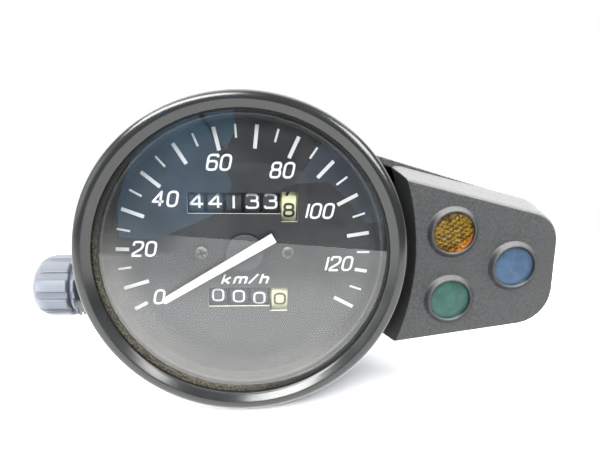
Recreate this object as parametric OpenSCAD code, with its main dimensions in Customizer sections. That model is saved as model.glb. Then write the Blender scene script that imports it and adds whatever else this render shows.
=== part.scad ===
// Motorcycle speedometer with a three-lamp warning unit.
// Local frame of every module: x to the right and y up on the dial, z out of the dial towards
// the rider, with z = 0 on the back face of the case. face_out() turns it to +Z up.

/* [Case and bezel] */
// Outside diameter of the bezel
bezel_d = 78.4; // [75:0.4:86]
// Sheet thickness of the bezel
bezel_t = 0.8; // [0.6:0.1:1]
// Height of the dial face over the bridge plate of the movement
dial_over_bridge = 20.8; // [20:0.1:23]
// Height of the bezel's crest over the dial face
crest_h = 8; // [7.6:0.1:8.6]
// Width of the bezel from its outside to its crest
crest_w = 2.3; // [1.8:0.1:2.6]
// Width of the bezel from its outside to its lip
lip_w = 4.1; // [3.8:0.1:4.6]
// How far the bezel's widest part lies below its crest
shoulder_drop = 1.1; // [0.8:0.1:1.5]
// How far the bezel's lip lies below its crest
lip_drop = 1.2; // [0.9:0.1:1.5]
// How far the bezel stands out from the case's wall
case_step = 2.4; // [2.2:0.1:3.2]
// Draw of the case's wall towards its back, on the radius
case_draw = 2.5; // [1.5:0.1:3]
// Radius of the case's back corner
case_corner = 6; // [5:0.5:7]
// Wall of the case
case_t = 1.2; // [1:0.1:1.4]

/* [Glass and dial] */
// Thickness of the glass
glass_t = 2; // [1.6:0.1:2.4]
// Thickness of the gasket's lips over and under the glass
gasket_t = 0.5; // [0.4:0.1:0.7]
// Width of the gasket's upper lip seen inside the bezel's lip
gasket_lip_w = 1.2; // [0.8:0.1:1.6]
// How far the glass reaches under the bezel's lip
glass_hold = 1.7; // [1.4:0.1:1.9]
// Thickness of the gasket round the glass's edge
gasket_edge = 0.7; // [0.5:0.1:0.8]
// Thickness of the dial plate
dial_t = 0.7; // [0.5:0.1:0.9]
// Width of the dial surround seen inside the gasket, at the dial
surround_w = 1; // [0.6:0.1:1.4]
// Widening of the dial surround towards the glass, on the diameter
surround_flare = 2.4; // [1.6:0.2:2.8]
// Clearance of the dial and its surround in the case, on the radius
dial_gap = 0.6; // [0.3:0.1:0.8]
// Distance between the two dial screws
dial_screw_span = 21.4; // [20.8:0.2:22]

/* [Pointer] */
// Length of the pointer from its axis to its tip
pointer_len = 23.7; // [22:0.1:26]
// Length of the pointer's tail
pointer_tail = 8.3; // [7:0.1:9]
// Width of the pointer at its tail
pointer_w = 2.4; // [2:0.1:2.6]
// Width of the pointer at its tip
pointer_tip_w = 1.5; // [1:0.1:1.8]
// Thickness of the pointer
pointer_t = 0.7; // [0.5:0.1:0.8]
// Diameter of the pointer's hub disc
hub_d = 9.5; // [8.5:0.1:10]
// Direction of the pointer at zero, counted from +x
zero_angle = 211; // [208:0.5:213]
// Diameter of the pointer's spindle
spindle_d = 1.6; // [1.4:0.1:1.8]

/* [Counters] */
// Height of the odometer's axis on the dial
odo_y = 12.5; // [12.3:0.1:12.8]
// Depth of the trip counter's axis below the pointer's axis
trip_y = 11.9; // [11.7:0.1:12.1]
// Depth of both axes behind the dial face
wheel_depth = 10; // [9.9:0.05:10.3]
// Diameter of a number wheel
wheel_d = 17; // [16.6:0.1:17.2]
// Pitch of the odometer's wheels
odo_pitch = 4.55; // [4.5:0.01:4.6]
// Pitch of the trip counter's wheels
trip_pitch = 5.3; // [5.2:0.02:5.36]
// Width of an odometer wheel's rim
odo_rim_w = 3.6; // [3.4:0.05:3.65]
// Width of a trip wheel's rim
trip_rim_w = 4.2; // [4:0.05:4.3]
// Position across the dial of the odometer's last wheel
odo_last_x = 10.85; // [10.7:0.05:10.95]
// Position across the dial of the trip counter's last wheel
trip_last_x = 8.8; // [8.6:0.05:9]
// Diameter of the counters' fixed shaft
odo_shaft_d = 2.4; // [2.2:0.1:2.8]
// Diameter of the trip and reset shaft
trip_shaft_d = 3; // [2.6:0.1:3.2]
// Module of the ring gears and transfer pinions
carry_module = 0.7; // [0.69:0.005:0.71]
// Side clearance between neighbouring wheels
side_gap = 0.12; // [0.08:0.02:0.14]

/* [Drive] */
// Diameter of the drive spindle
drive_d = 5; // [4.6:0.2:5.2]
// Side of the square socket for the cable
socket_side = 2.7; // [2.6:0.1:3.2]
// Diameter of the threaded cable boss
boss_d = 12; // [11:0.5:12]
// Length of the cable boss behind the case
boss_len = 16; // [14:0.5:18]
// Diameter of the magnet
magnet_d = 20; // [18:0.5:20.4]
// Thickness of the magnet
magnet_t = 4.2; // [3.6:0.2:4.2]
// Radial gap between magnet and speed cup
cup_gap = 0.8; // [0.6:0.05:0.9]
// Height of the cross shaft over the back of the case
cross_h = 11; // [10.9:0.05:11.1]
// Diameter of the cross and riser shafts
train_d = 2.4; // [2.2:0.1:2.6]
// Running clearance of a shaft in its bore, on the radius
run_gap = 0.05; // [0.03:0.01:0.08]

/* [Reset knob] */
// Diameter of the reset knob
knob_d = 16.4; // [15:0.2:16.8]
// Length of the reset knob
knob_len = 11.6; // [10.5:0.2:12]
// Gap between the bezel and the knob
knob_gap = 4.2; // [3.4:0.2:5.4]
// Radius of the knob's rounded end
knob_round = 4.6; // [4:0.2:5]
// Number of grooves round the knob
knob_grooves = 10; // [8:1:12]
// Width of a groove in the knob
knob_groove_w = 2; // [1.6:0.1:2.4]
// Depth of a groove in the knob
knob_groove_depth = 0.8; // [0.6:0.1:1]

/* [Lamp unit] */
// Height of the lamp unit's front face over the dial face
lamp_face_h = 3; // [2.6:0.1:3.4]
// Depth of the lamp housing's drafted wall
lamp_depth = 10; // [9:0.5:11]
// Depth of the back cover
cover_depth = 14; // [13:0.5:15]
// Widening of the housing's walls towards the back
lamp_draft = 2.1; // [1.6:0.1:2.4]
// Widening of the back cover's walls towards the housing
cover_draft = 2.4; // [1.6:0.1:2.6]
// Wall of the lamp unit
lamp_wall = 2; // [1.6:0.1:2.2]
// Gap between the bezel and the lamp housing's hollow side
lamp_gap = 3.5; // [3.2:0.1:3.8]
// Radius of the lamp housing's hollow side
hollow_r = 64; // [60:1:68]
// Gap between the case and the back cover's hollow side
cover_gap = 1.6; // [1.4:0.1:2]
// Rounding of the lamp housing's front edge
lamp_edge = 0.7; // [0.4:0.1:1]
// Diameter of a lamp lens
lens_d = 10.4; // [10:0.1:10.8]
// Outside diameter of a lens collar
collar_d = 13.6; // [13.2:0.1:14]
// Height of a lens collar over the face
collar_h = 1.3; // [1:0.1:1.6]
// Width of the fillet round a lens collar
collar_flare = 1.4; // [1:0.1:1.5]

/* [Stay] */
// Sheet thickness of the stay
stay_t = 2.3; // [2:0.1:2.6]
// Thickness of a rubber damper's flange
damper_t = 3; // [2.6:0.1:3.2]
// Distance between the two mounting holes
stay_hole_span = 32; // [28:1:36]
// Diameter of a mounting hole
stay_hole_d = 6.6; // [6.4:0.1:7]
// Depth of the mounting holes below the pointer's axis
stay_hole_y = 31; // [30.8:0.1:32]
// Distance between the two studs of the case
stud_span = 34; // [33:0.5:35]
// Height of the studs over the pointer's axis
stud_y = 3; // [2:0.5:4]
// Diameter of a stud
stud_d = 5; // [4.6:0.2:5.4]

/* [Hidden] */

$fn = 64;
eps = 0.01;

// Levels of magnet, cup, hairspring and bridge over the back of the case, and of the dial on them
collar_top = 5.2;
magnet_z = cross_h + 7.4;
cup_top = magnet_z + magnet_t + 1.4;
spring_z = cup_top + 0.5;
spring_h = 0.7;
regulator_z = spring_z + 1.2;
bridge_bottom = regulator_z + 1.5;
bridge_t = 1.8;
bridge_top = bridge_bottom + bridge_t;
dial_h = bridge_bottom + dial_over_bridge;
axis_z = dial_h - wheel_depth;

// Levels of bezel, gasket and glass
crest_z = dial_h + crest_h;
shoulder_z = crest_z - shoulder_drop;
lip_z = crest_z - lip_drop;
lip_h = 1.2;
gasket_top = lip_z - lip_h;
glass_top = gasket_top - gasket_t;
glass_bottom = glass_top - glass_t;
flange_top = glass_bottom - gasket_t;
flange_t = 1;
flange_bottom = flange_top - flange_t;
bezel_bottom = flange_bottom - bezel_t;

// Radii of the case and of what it holds
bezel_r = bezel_d / 2;
crest_r = bezel_r - crest_w;
lip_r = bezel_r - lip_w;
case_r = bezel_r - case_step;
case_back_r = case_r - case_draw;
bezel_gap = 0.3;
flange_r = bezel_r - bezel_t - bezel_gap;
glass_r = lip_r + glass_hold;
gasket_r = glass_r + gasket_edge;
gasket_in_r = lip_r - gasket_lip_w;
surround_r = gasket_in_r - surround_w;
dial_r = case_r - case_t - dial_gap;
knob_x = bezel_r + knob_gap + knob_len;
wheel_r = wheel_d / 2;

// Drive train: three worm stages of 14, 10 and 10 make 1400 turns of the cable to a kilometre
first_teeth = 14;
first_module = 0.85;
first_worm_r = 2.55;
cross_x = first_teeth * first_module / 2 + first_worm_r;
second_teeth = 10;
second_module = 0.98;
second_worm_r = 2.5;
riser_x = cross_x + second_teeth * second_module / 2 + second_worm_r;
third_teeth = 10;
third_module = 1;
third_worm_r = 2.3;
riser_y = odo_y + third_teeth * third_module / 2 + third_worm_r;
worm_slack = 0.28;
worm_wheel_w = 1.9;
spur_module = (odo_y + trip_y) / 61;
spur_teeth = 40;
idler_teeth = 21;
spur_w = 1.2;
idler_y = odo_y - (spur_teeth + idler_teeth) * spur_module / 2;

// Magnet, speed cup and field ring
magnet_r = magnet_d / 2;
cup_r = magnet_r + cup_gap;
cup_t = 0.4;
ring_r = cup_r + cup_t + 0.8;
ring_w = 1.8;

// Counters
carry_teeth = 20;
pinion_teeth = 8;
carry_dist = (carry_teeth + pinion_teeth) * carry_module / 2;
pinion_angle = 30;
pinion_shaft_d = 1.6;
odo_wheels = 6;
trip_wheels = 4;
gear_x = riser_x + third_worm_r + 1.1;
cheek_t = 1.6;
left_cheek_x = odo_last_x - (odo_wheels - 1) * odo_pitch - odo_rim_w / 2 - 0.7 - cheek_t;
right_cheek_x = gear_x + spur_w + 0.6;
cheek_span = right_cheek_x + cheek_t - left_cheek_x;

// Frame pillars, dial posts and screws
pillar_r = 3;
pillar_ring_r = 24;
pillar_angles = [90, 200, 340];
bridge_r = pillar_ring_r + pillar_r + 0.5;
post_r = 2;
screw_d = 3.8;
screw_head_d = 7;
small_screw_d = 2;
housing_screws = [[-8.4, 8.4], [-8.4, -8.4]];
spigot_r = boss_d / 2 + 0.3;

// Lamps that light the dial
dial_lamps = [[-17, 18], [17, -18]];
dial_socket_d = 10;
dial_socket_back = 6.5;
dial_socket_in = 3;
bulb_d = 5;

// Lamp unit: corner circles [x, y, r] of its outlines and places [x, y], with x counted from
// the bezel's outside
function beside(list) = [for (p = list) [for (i = [0:len(p) - 1]) p[i] + (i == 0 ? bezel_r : 0)]];
lamp_corners = beside([[-0.1, 18.2, 1.2], [31.7, 2.9, 8.6], [31.2, -9.6, 9.6], [-0.2, -22.5, 1.2]]);
cover_corners = beside([
    [-6.2, 21.2, 3], [16.8, 14.6, 3], [31.7, 2.9, 10.4], [31.2, -9.6, 11.4], [-5.2, -22.8, 3]]);
lamp_middle = [bezel_r + 17.8, -2.5];
lens_places = beside([[12.4, 6.1], [29, -2.8], [13, -11.7]]);
hollow_place = [bezel_r + lamp_gap - hollow_r, -2, 0];
cover_arc_r = case_r + cover_gap;
face_z = dial_h + lamp_face_h;
lamp_back_z = face_z - lamp_depth;
cover_back_z = lamp_back_z - cover_depth;
lens_r = lens_d / 2;
collar_r = collar_d / 2;
fillet_top = face_z + collar_h - 0.4;
well_r = 7.3;
well_t = 1.1;
lamp_socket_d = 9.2;
cover_screws = beside([[9.5, -2.8], [23.4, 7.4], [24.2, -15.2]]);
cover_boss_r = 2.4;
stay_screws = beside([[4.2, 13.2], [4.2, -15.6]]);
stay_boss_r = 3.6;

// Stay
stay_front = -damper_t;
stay_back = stay_front - stay_t;
upright_x = bezel_r - 0.6;
stay_flange_w = 7.6;
bend_r = 1.5;
damper_r = 6.5;
damper_neck_r = 4.2;

// Turns the local frame to the object's own: +Z up, dial towards -Y
module face_out() {
    rotate([90, 0, 0]) children();
}

// Ring about z from radius a to radius b between two heights
module ring(a, b, z0, z1) {
    translate([0, 0, z0]) difference() {
        cylinder(r = b, h = z1 - z0);
        translate([0, 0, -eps]) cylinder(r = a, h = z1 - z0 + 2 * eps);
    }
}

module rod(r, z0, z1) {
    translate([0, 0, z0]) cylinder(r = r, h = z1 - z0);
}

// Moves a shaft made along z so that it lies along +x on the given axis of the dial
module along_x(y) {
    translate([0, y, axis_z]) rotate([0, 90, 0]) children();
}

function arc(cx, cy, rx, ry, a0, a1, n) =
    [for (i = [0:n]) let (a = a0 + (a1 - a0) * i / n) [cx + rx * cos(a), cy + ry * sin(a)]];

// Involute gear outline: the half angle of a tooth at each radius comes from the involute
function roll(rb, r) = r <= rb ? 0 : sqrt(pow(r / rb, 2) - 1) * 180 / PI;
function inv(rb, r) = roll(rb, r) - atan(roll(rb, r) * PI / 180);
function tooth_half(rp, rb, r, n, slack) =
    90 / n - slack / 2 / rp * 180 / PI + inv(rb, rp) - inv(rb, r);
function gear_points(n, m, add, ded, slack) =
    let (rp = n * m / 2, rb = rp * cos(25), r0 = rp - ded, r1 = rp + add, k = 3)
    [for (i = [0:n - 1]) each concat(
        [for (j = [0:k]) let (r = r0 + (r1 - r0) * j / k)
            r * [cos(i * 360 / n - tooth_half(rp, rb, r, n, slack)),
                 sin(i * 360 / n - tooth_half(rp, rb, r, n, slack))]],
        [for (j = [k:-1:0]) let (r = r0 + (r1 - r0) * j / k)
            r * [cos(i * 360 / n + tooth_half(rp, rb, r, n, slack)),
                 sin(i * 360 / n + tooth_half(rp, rb, r, n, slack))]])];

module gear(n, m, add, ded, slack, z0, z1) {
    translate([0, 0, z0]) linear_extrude(height = z1 - z0)
        polygon(gear_points(n, m, add, ded, slack));
}

// Single-start worm: its cross-section turns once in every pitch. The crest points to +x at z = 0
function worm_flank(m, add, ded, slack) =
    let (p = PI * m, q = p / 4 - slack / 2, t = tan(25))
    [for (j = [0:3]) let (h = add - (add + ded) * j / 3) [(q - h * t) / p * 360, h]];
module worm(r, m, add, ded, slack, turns) {
    flank = worm_flank(m, add, ded, slack);
    root = flank[3][0];
    outline = concat(
        [for (f = flank) (r + f[1]) * [cos(f[0]), sin(f[0])]],
        [for (i = [1:4]) let (a = root + (360 - 2 * root) * i / 5) (r - ded) * [cos(a), sin(a)]],
        [for (i = [3:-1:0]) let (f = flank[i]) (r + f[1]) * [cos(-f[0]), sin(-f[0])]]);
    h = PI * m * turns;
    rotate([0, 0, -180 * turns]) translate([0, 0, -h / 2])
        linear_extrude(height = h, twist = -360 * turns, slices = round(12 * turns), $fn = 0)
            polygon(outline);
}

// Case

function case_radius(z) =
    case_back_r + (case_r - case_back_r) * (z - case_corner) / (flange_bottom - case_corner);

module case() {
    c = case_back_r - case_corner;
    hole = spigot_r + 0.1;
    color("#26282a") difference() {
        union() {
            rotate_extrude($fn = 96) polygon(concat(
                [[hole, 0]],
                arc(c, case_corner, case_corner, case_corner, -90, 0, 6),
                [[case_r, flange_bottom], [flange_r, flange_bottom], [flange_r, flange_top],
                 [case_r - case_t, flange_top], [case_r - case_t, flange_bottom]],
                arc(c, case_corner, case_corner - case_t, case_corner - case_t, 0, -90, 6),
                [[hole, case_t]]));
            difference() {
                along_x(-trip_y) rod(6.2, -case_r - 2, -case_r + 7);
                rod(case_radius(axis_z) - case_t, axis_z - 8, axis_z + 8);
            }
            for (s = [-1, 1]) translate([s * stud_span / 2, stud_y, 0])
                rod(stud_d / 2, stay_back - damper_t - 6.8, case_t);
        }
        along_x(-trip_y) rod(4.4, -case_r - 3, -case_r + 8);
        for (p = dial_lamps) translate([p[0], p[1], -1]) cylinder(d = dial_socket_d, h = case_t + 2);
        for (a = pillar_angles) rotate([0, 0, a]) translate([pillar_ring_r, 0, -1])
            cylinder(d = screw_d + 0.2, h = 4);
        for (p = housing_screws) translate([p[0], p[1], -1]) cylinder(d = small_screw_d + 0.4, h = 4);
    }
}

module bezel() {
    curl_in = case_r + 0.6;
    lip_round = 0.25;
    color("#1b1c1e") rotate_extrude($fn = 128) polygon(concat(
        arc(crest_r, shoulder_z, crest_w, shoulder_drop, 0, 90, 10),
        arc(lip_r + lip_round, lip_z - lip_round, lip_round, lip_round, 128, 180, 3),
        [[lip_r, gasket_top], [lip_r + 2 * lip_round, gasket_top],
         [crest_r, crest_z - bezel_t - 0.2], [bezel_r - bezel_t, shoulder_z - 0.2],
         [bezel_r - bezel_t, flange_bottom], [curl_in, flange_bottom], [curl_in, bezel_bottom]],
        arc(bezel_r - bezel_t, bezel_bottom + bezel_t, bezel_t, bezel_t, -90, 0, 4)));
}

module glass() {
    color("#c8d4dc", 0.3) rod(glass_r, glass_bottom, glass_top, $fn = 96);
}

module glass_gasket() {
    color("#4a3d2c") rotate_extrude($fn = 96) polygon([
        [gasket_in_r, gasket_top], [gasket_r, gasket_top], [gasket_r, flange_top],
        [dial_r, flange_top], [dial_r, glass_bottom],
        [glass_r, glass_bottom], [glass_r, glass_top], [gasket_in_r, glass_top]]);
}

module dial_surround() {
    inner = surround_r;
    color("#17181a") rotate_extrude($fn = 96) polygon([
        [inner, dial_h], [dial_r, dial_h], [dial_r, glass_bottom],
        [inner + surround_flare / 2, glass_bottom],
        [inner + surround_flare / 2 - 0.5, glass_bottom - 0.4]]);
}

// Window over a counter, with a taller step over its last wheel
module window(x0, x1, y0, y1, step_x0, step_x1, step_y0, step_y1) {
    translate([x0, y0]) square([x1 - x0, y1 - y0]);
    translate([step_x0, step_y0]) square([step_x1 - step_x0, step_y1 - step_y0]);
}

module dial_plate() {
    odo_left = odo_last_x - (odo_wheels - 1) * odo_pitch - 2;
    trip_left = trip_last_x - (trip_wheels - 1) * trip_pitch - 2.3;
    color("#141516") translate([0, 0, dial_h - dial_t]) linear_extrude(height = dial_t) difference() {
        circle(r = dial_r, $fn = 96);
        window(odo_left, odo_last_x - 1.9, odo_y - 2.6, odo_y + 2.6,
               odo_last_x - 2.05, odo_last_x + 2.05, odo_y - 4.6, odo_y + 2.9);
        window(trip_left, trip_last_x - 2.4, -trip_y - 2.5, -trip_y + 2.55,
               trip_last_x - 2.6, trip_last_x + 1.9, -trip_y - 3.85, -trip_y + 2.5);
        circle(r = 2);
        for (s = [-1, 1]) translate([s * dial_screw_span / 2, 0]) circle(d = small_screw_d + 0.2);
    }
}

module dial_screws() {
    color("#3a3c3f") for (s = [-1, 1]) translate([s * dial_screw_span / 2, 0, 0]) difference() {
        union() {
            rod(small_screw_d / 2, dial_h - 6, dial_h);
            rod(1.65, dial_h, dial_h + 0.5);
            translate([0, 0, dial_h + 0.5]) cylinder(r1 = 1.65, r2 = 1.2, h = 0.4);
        }
        for (a = [0, 90]) rotate([0, 0, a]) translate([-1, -0.2, dial_h + 0.4]) cube([2, 0.4, 1]);
    }
}

// Pointer and its spindle

pointer_z = dial_h + 1.5;
// Cut-off corner of the pointer's tip
pointer_cut = 0.4;

module pointer() {
    color("white") rotate([0, 0, zero_angle]) difference() {
        union() {
            translate([0, 0, pointer_z]) linear_extrude(height = pointer_t) polygon([
                [-pointer_tail, -pointer_w / 2], [pointer_len - pointer_cut, -pointer_tip_w / 2],
                [pointer_len, pointer_cut - pointer_tip_w / 2],
                [pointer_len, pointer_tip_w / 2 - pointer_cut],
                [pointer_len - pointer_cut, pointer_tip_w / 2], [-pointer_tail, pointer_w / 2]]);
            rod(1, pointer_z - 0.3, pointer_z + pointer_t / 2);
        }
        rod(0.6, pointer_z - 1, pointer_z + pointer_t - 0.2);
    }
}

module pointer_hub() {
    color("#202224") difference() {
        union() {
            rod(hub_d / 2, dial_h + 0.5, dial_h + 1);
            translate([0, 0, dial_h + 1]) cylinder(d1 = hub_d, d2 = hub_d - 0.5, h = 0.2);
        }
        rod(0.6, dial_h, dial_h + 2);
    }
}

module pointer_spindle() {
    color("#a8abad") difference() {
        union() {
            rod(0.45, magnet_z + 2.7, magnet_z + magnet_t);
            rod(spindle_d / 2, magnet_z + magnet_t, dial_h + 0.5);
            rod(0.6, dial_h + 0.5, pointer_z + pointer_t - 0.2);
            rod(1.5, cup_top, spring_z + spring_h + 0.2);
        }
    }
}

module speed_cup() {
    color("#c2c5c7") {
        ring(spindle_d / 2, cup_r + cup_t, cup_top - cup_t, cup_top);
        ring(cup_r, cup_r + cup_t, magnet_z - 0.4, cup_top - cup_t / 2);
        rotate([0, 0, zero_angle - 96]) translate([cup_r - 2.4, -1.2, cup_top - cup_t / 2])
            cube([2.4, 2.4, 1]);
    }
}

// Flat spiral: a band of constant width laid along a spiral of constant pitch
module hairspring() {
    turns = 4.5;
    steps = 108;
    r0 = 1.75;
    pitch = 1.05;
    band = 0.3;
    function at(i, side) =
        let (a = 360 * turns * i / steps, r = r0 + pitch * a / 360 + side * band / 2)
        r * [cos(a + zero_angle), sin(a + zero_angle)];
    color("#b08a3c") translate([0, 0, spring_z]) linear_extrude(height = spring_h) polygon(concat(
        [for (i = [0:steps]) at(i, 1)], [for (i = [steps:-1:0]) at(i, -1)]));
}

module hairspring_regulator() {
    reach = 1.75 + 1.05 * 4.5 + 0.25;
    color("#b5963f") {
        ring(spindle_d / 2 + 0.5, 3.2, regulator_z, bridge_bottom);
        rotate([0, 0, zero_angle + 180]) difference() {
            union() {
                translate([0, -0.9, regulator_z]) cube([reach + 1, 1.8, 0.8]);
                translate([reach + 0.4, 0, 0]) rod(0.4, spring_z, regulator_z);
            }
            rod(3, regulator_z - 1, bridge_bottom + 1);
        }
    }
}

module field_ring() {
    color("#6d7073") {
        ring(ring_r, ring_r + ring_w, magnet_z - 0.6, magnet_z + magnet_t + 0.6);
        for (a = [30, 150, 270]) rotate([0, 0, a]) translate([ring_r + ring_w / 2, 0, 0])
            rod(0.8, magnet_z + magnet_t + 0.4, bridge_bottom);
        rotate([0, 0, zero_angle - 82]) translate([ring_r + ring_w / 2, 0, 0])
            rod(0.8, magnet_z + magnet_t + 0.4, cup_top + 1.4);
        rotate([0, 0, zero_angle - 82]) translate([cup_r - 2, -0.6, cup_top + 0.2])
            cube([4.4, 1.2, 1]);
    }
}

// Drive

module magnet() {
    color("#55585a") difference() {
        rod(magnet_r, magnet_z, magnet_z + magnet_t);
        rod(2, magnet_z - 1, magnet_z + magnet_t + 1);
    }
}

module drive_spindle() {
    color("#9b9ea1") difference() {
        union() {
            rod(drive_d / 2, -8, cross_h - 5.4);
            rod(drive_d / 2 + 1.1, 4.2, collar_top);
            translate([0, 0, cross_h]) worm(first_worm_r, first_module, 0.6, 0.75, worm_slack, 4);
            rod(drive_d / 2, cross_h + 5.4, magnet_z);
            rod(2, magnet_z, magnet_z + magnet_t);
            rod(first_worm_r - 0.8, collar_top, magnet_z);
        }
        translate([-socket_side / 2, -socket_side / 2, -9]) cube([socket_side, socket_side, 10]);
        rod(0.45 + run_gap, magnet_z + 2.5, magnet_z + magnet_t + 1);
    }
}

module spindle_bush() {
    color("#b08d57") ring(drive_d / 2 + run_gap, 4, -8, 4);
}

module drive_housing() {
    base_z = case_t;
    base_top = base_z + 2;
    riser_foot = base_top + 2;
    ear_x = cross_x - 2.2;
    color("#8d9194") difference() {
        union() {
            rod(boss_d / 2, -boss_len, 0);
            rod(spigot_r, 0, base_z + 0.5);
            translate([0, 0, base_z]) linear_extrude(height = 2) {
                circle(r = 14);
                translate([ear_x, 0]) square([4.4, riser_y + 5.8]);
                translate([cross_x, riser_y - 4]) square([riser_x - cross_x, 6]);
                translate([riser_x, riser_y]) circle(r = 2.6);
            }
            translate([riser_x, riser_y, 0]) rod(2.4, base_top - 0.5, riser_foot);
            for (y = [-4.6, 3.1, riser_y + 4.3]) translate([cross_x, y + 1.5, 0]) rotate([90, 0, 0])
                linear_extrude(height = 1.5) {
                    translate([-2.2, base_top - 0.5]) square([4.4, cross_h - base_top + 0.5]);
                    translate([0, cross_h]) circle(r = 2.2, $fn = 48);
                }
        }
        rod(4, -8, base_top + 1);
        rod(4.2, -boss_len - 1, -8);
        for (p = housing_screws) translate([p[0], p[1], 0]) rod(small_screw_d / 2, 0, base_top + 1);
        translate([cross_x, riser_y + 8, cross_h]) rotate([90, 0, 0])
            cylinder(d = train_d + 2 * run_gap, h = riser_y + 16);
        translate([riser_x, riser_y, 0]) rod(1 + run_gap, base_z + 1, riser_foot + 1);
    }
}

// Horizontal shaft: a worm wheel driven by the spindle, and a worm that drives the riser
module cross_shaft() {
    color("#d9d6c8") translate([cross_x, 0, cross_h]) rotate([-90, 0, 0]) difference() {
        union() {
            rod(train_d / 2, -4.9, riser_y + 5.8);
            // The wheel's gap faces the spindle's worm
            rotate([0, 0, 180 + 180 / first_teeth])
                gear(first_teeth, first_module, 0.6, 0.75, worm_slack, -worm_wheel_w / 2, worm_wheel_w / 2);
            rod(2.2, -worm_wheel_w / 2 - 1.8, worm_wheel_w / 2 + 1.8);
            translate([0, 0, riser_y]) worm(second_worm_r, second_module, 0.65, 0.8, worm_slack, 2.25);
        }
    }
}

// Vertical shaft: carries the drive past the magnet up to the odometer
module riser_shaft() {
    color("#d9d6c8") translate([riser_x, riser_y, 0]) {
        rod(1, case_t + 1.4, case_t + 4.3);
        rod(train_d / 2, case_t + 4.3, dial_h - 3.6);
        rod(1, dial_h - 3.6, dial_h - 1.9);
        rotate([0, 0, 180 + 180 / second_teeth])
            gear(second_teeth, second_module, 0.65, 0.8, worm_slack,
                 cross_h - worm_wheel_w / 2, cross_h + worm_wheel_w / 2);
        rod(2, case_t + 4.3, cross_h + worm_wheel_w / 2 + 1.5);
        // The worm's crest faces the odometer's wheel
        translate([0, 0, axis_z]) rotate([0, 0, -90])
            worm(third_worm_r, third_module, 0.65, 0.8, worm_slack, 2.25);
    }
}

// Frame that carries the counters, the dial and the pointer's spindle

module cheek_outline() {
    foot = bridge_top - 0.4;
    translate([foot, -19]) square([axis_z - foot, 38]);
    translate([axis_z, odo_y]) circle(r = 5);
    translate([axis_z, -trip_y]) circle(r = 5);
    translate([foot, -trip_y]) square([axis_z - foot + 3.2, trip_y + odo_y]);
}

// Plate that stands across x between the bridge and the dial
module cheek(x) {
    translate([x, 0, 0]) multmatrix([[0, 0, 1, 0], [0, 1, 0, 0], [1, 0, 0, 0], [0, 0, 0, 1]])
        linear_extrude(height = cheek_t) children();
}

module movement_frame() {
    lug_z = dial_h - 3.1;
    pin_out = carry_dist * cos(90 - pinion_angle);
    pin_y = odo_y + pin_out;
    trip_pin_y = -trip_y - pin_out;
    pin_z = axis_z - carry_dist * sin(90 - pinion_angle);
    color("#7f8386") difference() {
        union() {
            rod(bridge_r, bridge_bottom, bridge_top);
            for (a = pillar_angles) rotate([0, 0, a]) translate([pillar_ring_r, 0, 0])
                rod(pillar_r, case_t, bridge_bottom);
            for (s = [-1, 1]) translate([s * dial_screw_span / 2, 0, 0])
                rod(post_r, bridge_top, dial_h - dial_t);
            rod(2.6, bridge_top, bridge_top + 5);
            cheek(left_cheek_x) cheek_outline();
            cheek(right_cheek_x) cheek_outline();
            cheek(right_cheek_x) translate([bridge_top, riser_y - 2])
                square([lug_z + 1.3 - bridge_top, 4]);
            translate([riser_x, riser_y - 2, lug_z]) cube([right_cheek_x - riser_x + 0.5, 4, 1.3]);
            translate([riser_x, riser_y, 0]) rod(2, lug_z, lug_z + 1.3);
            translate([0, idler_y, axis_z]) rotate([0, 90, 0])
                cylinder(r = 1.2, h = right_cheek_x);
        }
        rod(spindle_d / 2 + run_gap, bridge_bottom - 1, bridge_top + 6);
        for (a = pillar_angles) rotate([0, 0, a]) translate([pillar_ring_r, 0, 0])
            rod(screw_d / 2, 0, 12);
        for (s = [-1, 1]) translate([s * dial_screw_span / 2, 0, 0])
            rod(small_screw_d / 2, dial_h - 8, dial_h);
        translate([left_cheek_x - 1, 0, axis_z]) {
            translate([0, odo_y, 0]) rotate([0, 90, 0]) cylinder(d = odo_shaft_d, h = cheek_span + 2);
            translate([0, -trip_y, 0]) rotate([0, 90, 0])
                cylinder(r = trip_shaft_d / 2 + run_gap, h = cheek_span + 2);
        }
        for (y = [pin_y, trip_pin_y]) translate([left_cheek_x - 1, y, pin_z]) rotate([0, 90, 0])
            cylinder(d = pinion_shaft_d, h = cheek_span + 2);
        translate([riser_x, riser_y, 0]) {
            rod(train_d / 2 + run_gap, bridge_bottom - 1, bridge_top + 1);
            rod(1 + run_gap, lug_z - 1, lug_z + 3);
        }
        // Windows under the transfer pinions
        translate([odo_x(1) + odo_pitch / 2 - 1.6, pin_y - 3.9, bridge_bottom - 1])
            cube([(odo_wheels - 2) * odo_pitch + 3.2, 7.8, bridge_t + 2]);
        translate([trip_x(1) + trip_pitch / 2 - 1.6, trip_pin_y - 3.9, bridge_bottom - 1])
            cube([(trip_wheels - 2) * trip_pitch + 3.2, 7.8, bridge_t + 2]);
        // Everything of the idler's pin left of the gears
        translate([0, idler_y - 2, axis_z - 2]) cube([gear_x - 0.3, 4, 4]);
    }
}

module movement_screws() {
    color("#9a9da0") {
        for (a = pillar_angles) rotate([0, 0, a]) translate([pillar_ring_r, 0, 0]) {
            rod(screw_d / 2, -0.1, 9);
            difference() {
                rod(screw_head_d / 2, -2.2, 0);
                translate([-3, -0.5, -2.3]) cube([6, 1, 1]);
            }
        }
        for (p = housing_screws) translate([p[0], p[1], 0]) {
            rod(small_screw_d / 2, -0.1, case_t + 1.8);
            rod(1.8, -1.2, 0);
        }
    }
}

// Number wheels. Each is made along z, its rim's middle at z = 0 and the faster side at +z

function odo_x(i) = odo_last_x - (odo_wheels - i) * odo_pitch;
function trip_x(i) = trip_last_x - (trip_wheels - i) * trip_pitch;
function carry_w(pitch, rim) = (pitch - rim - side_gap) / 2;

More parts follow.
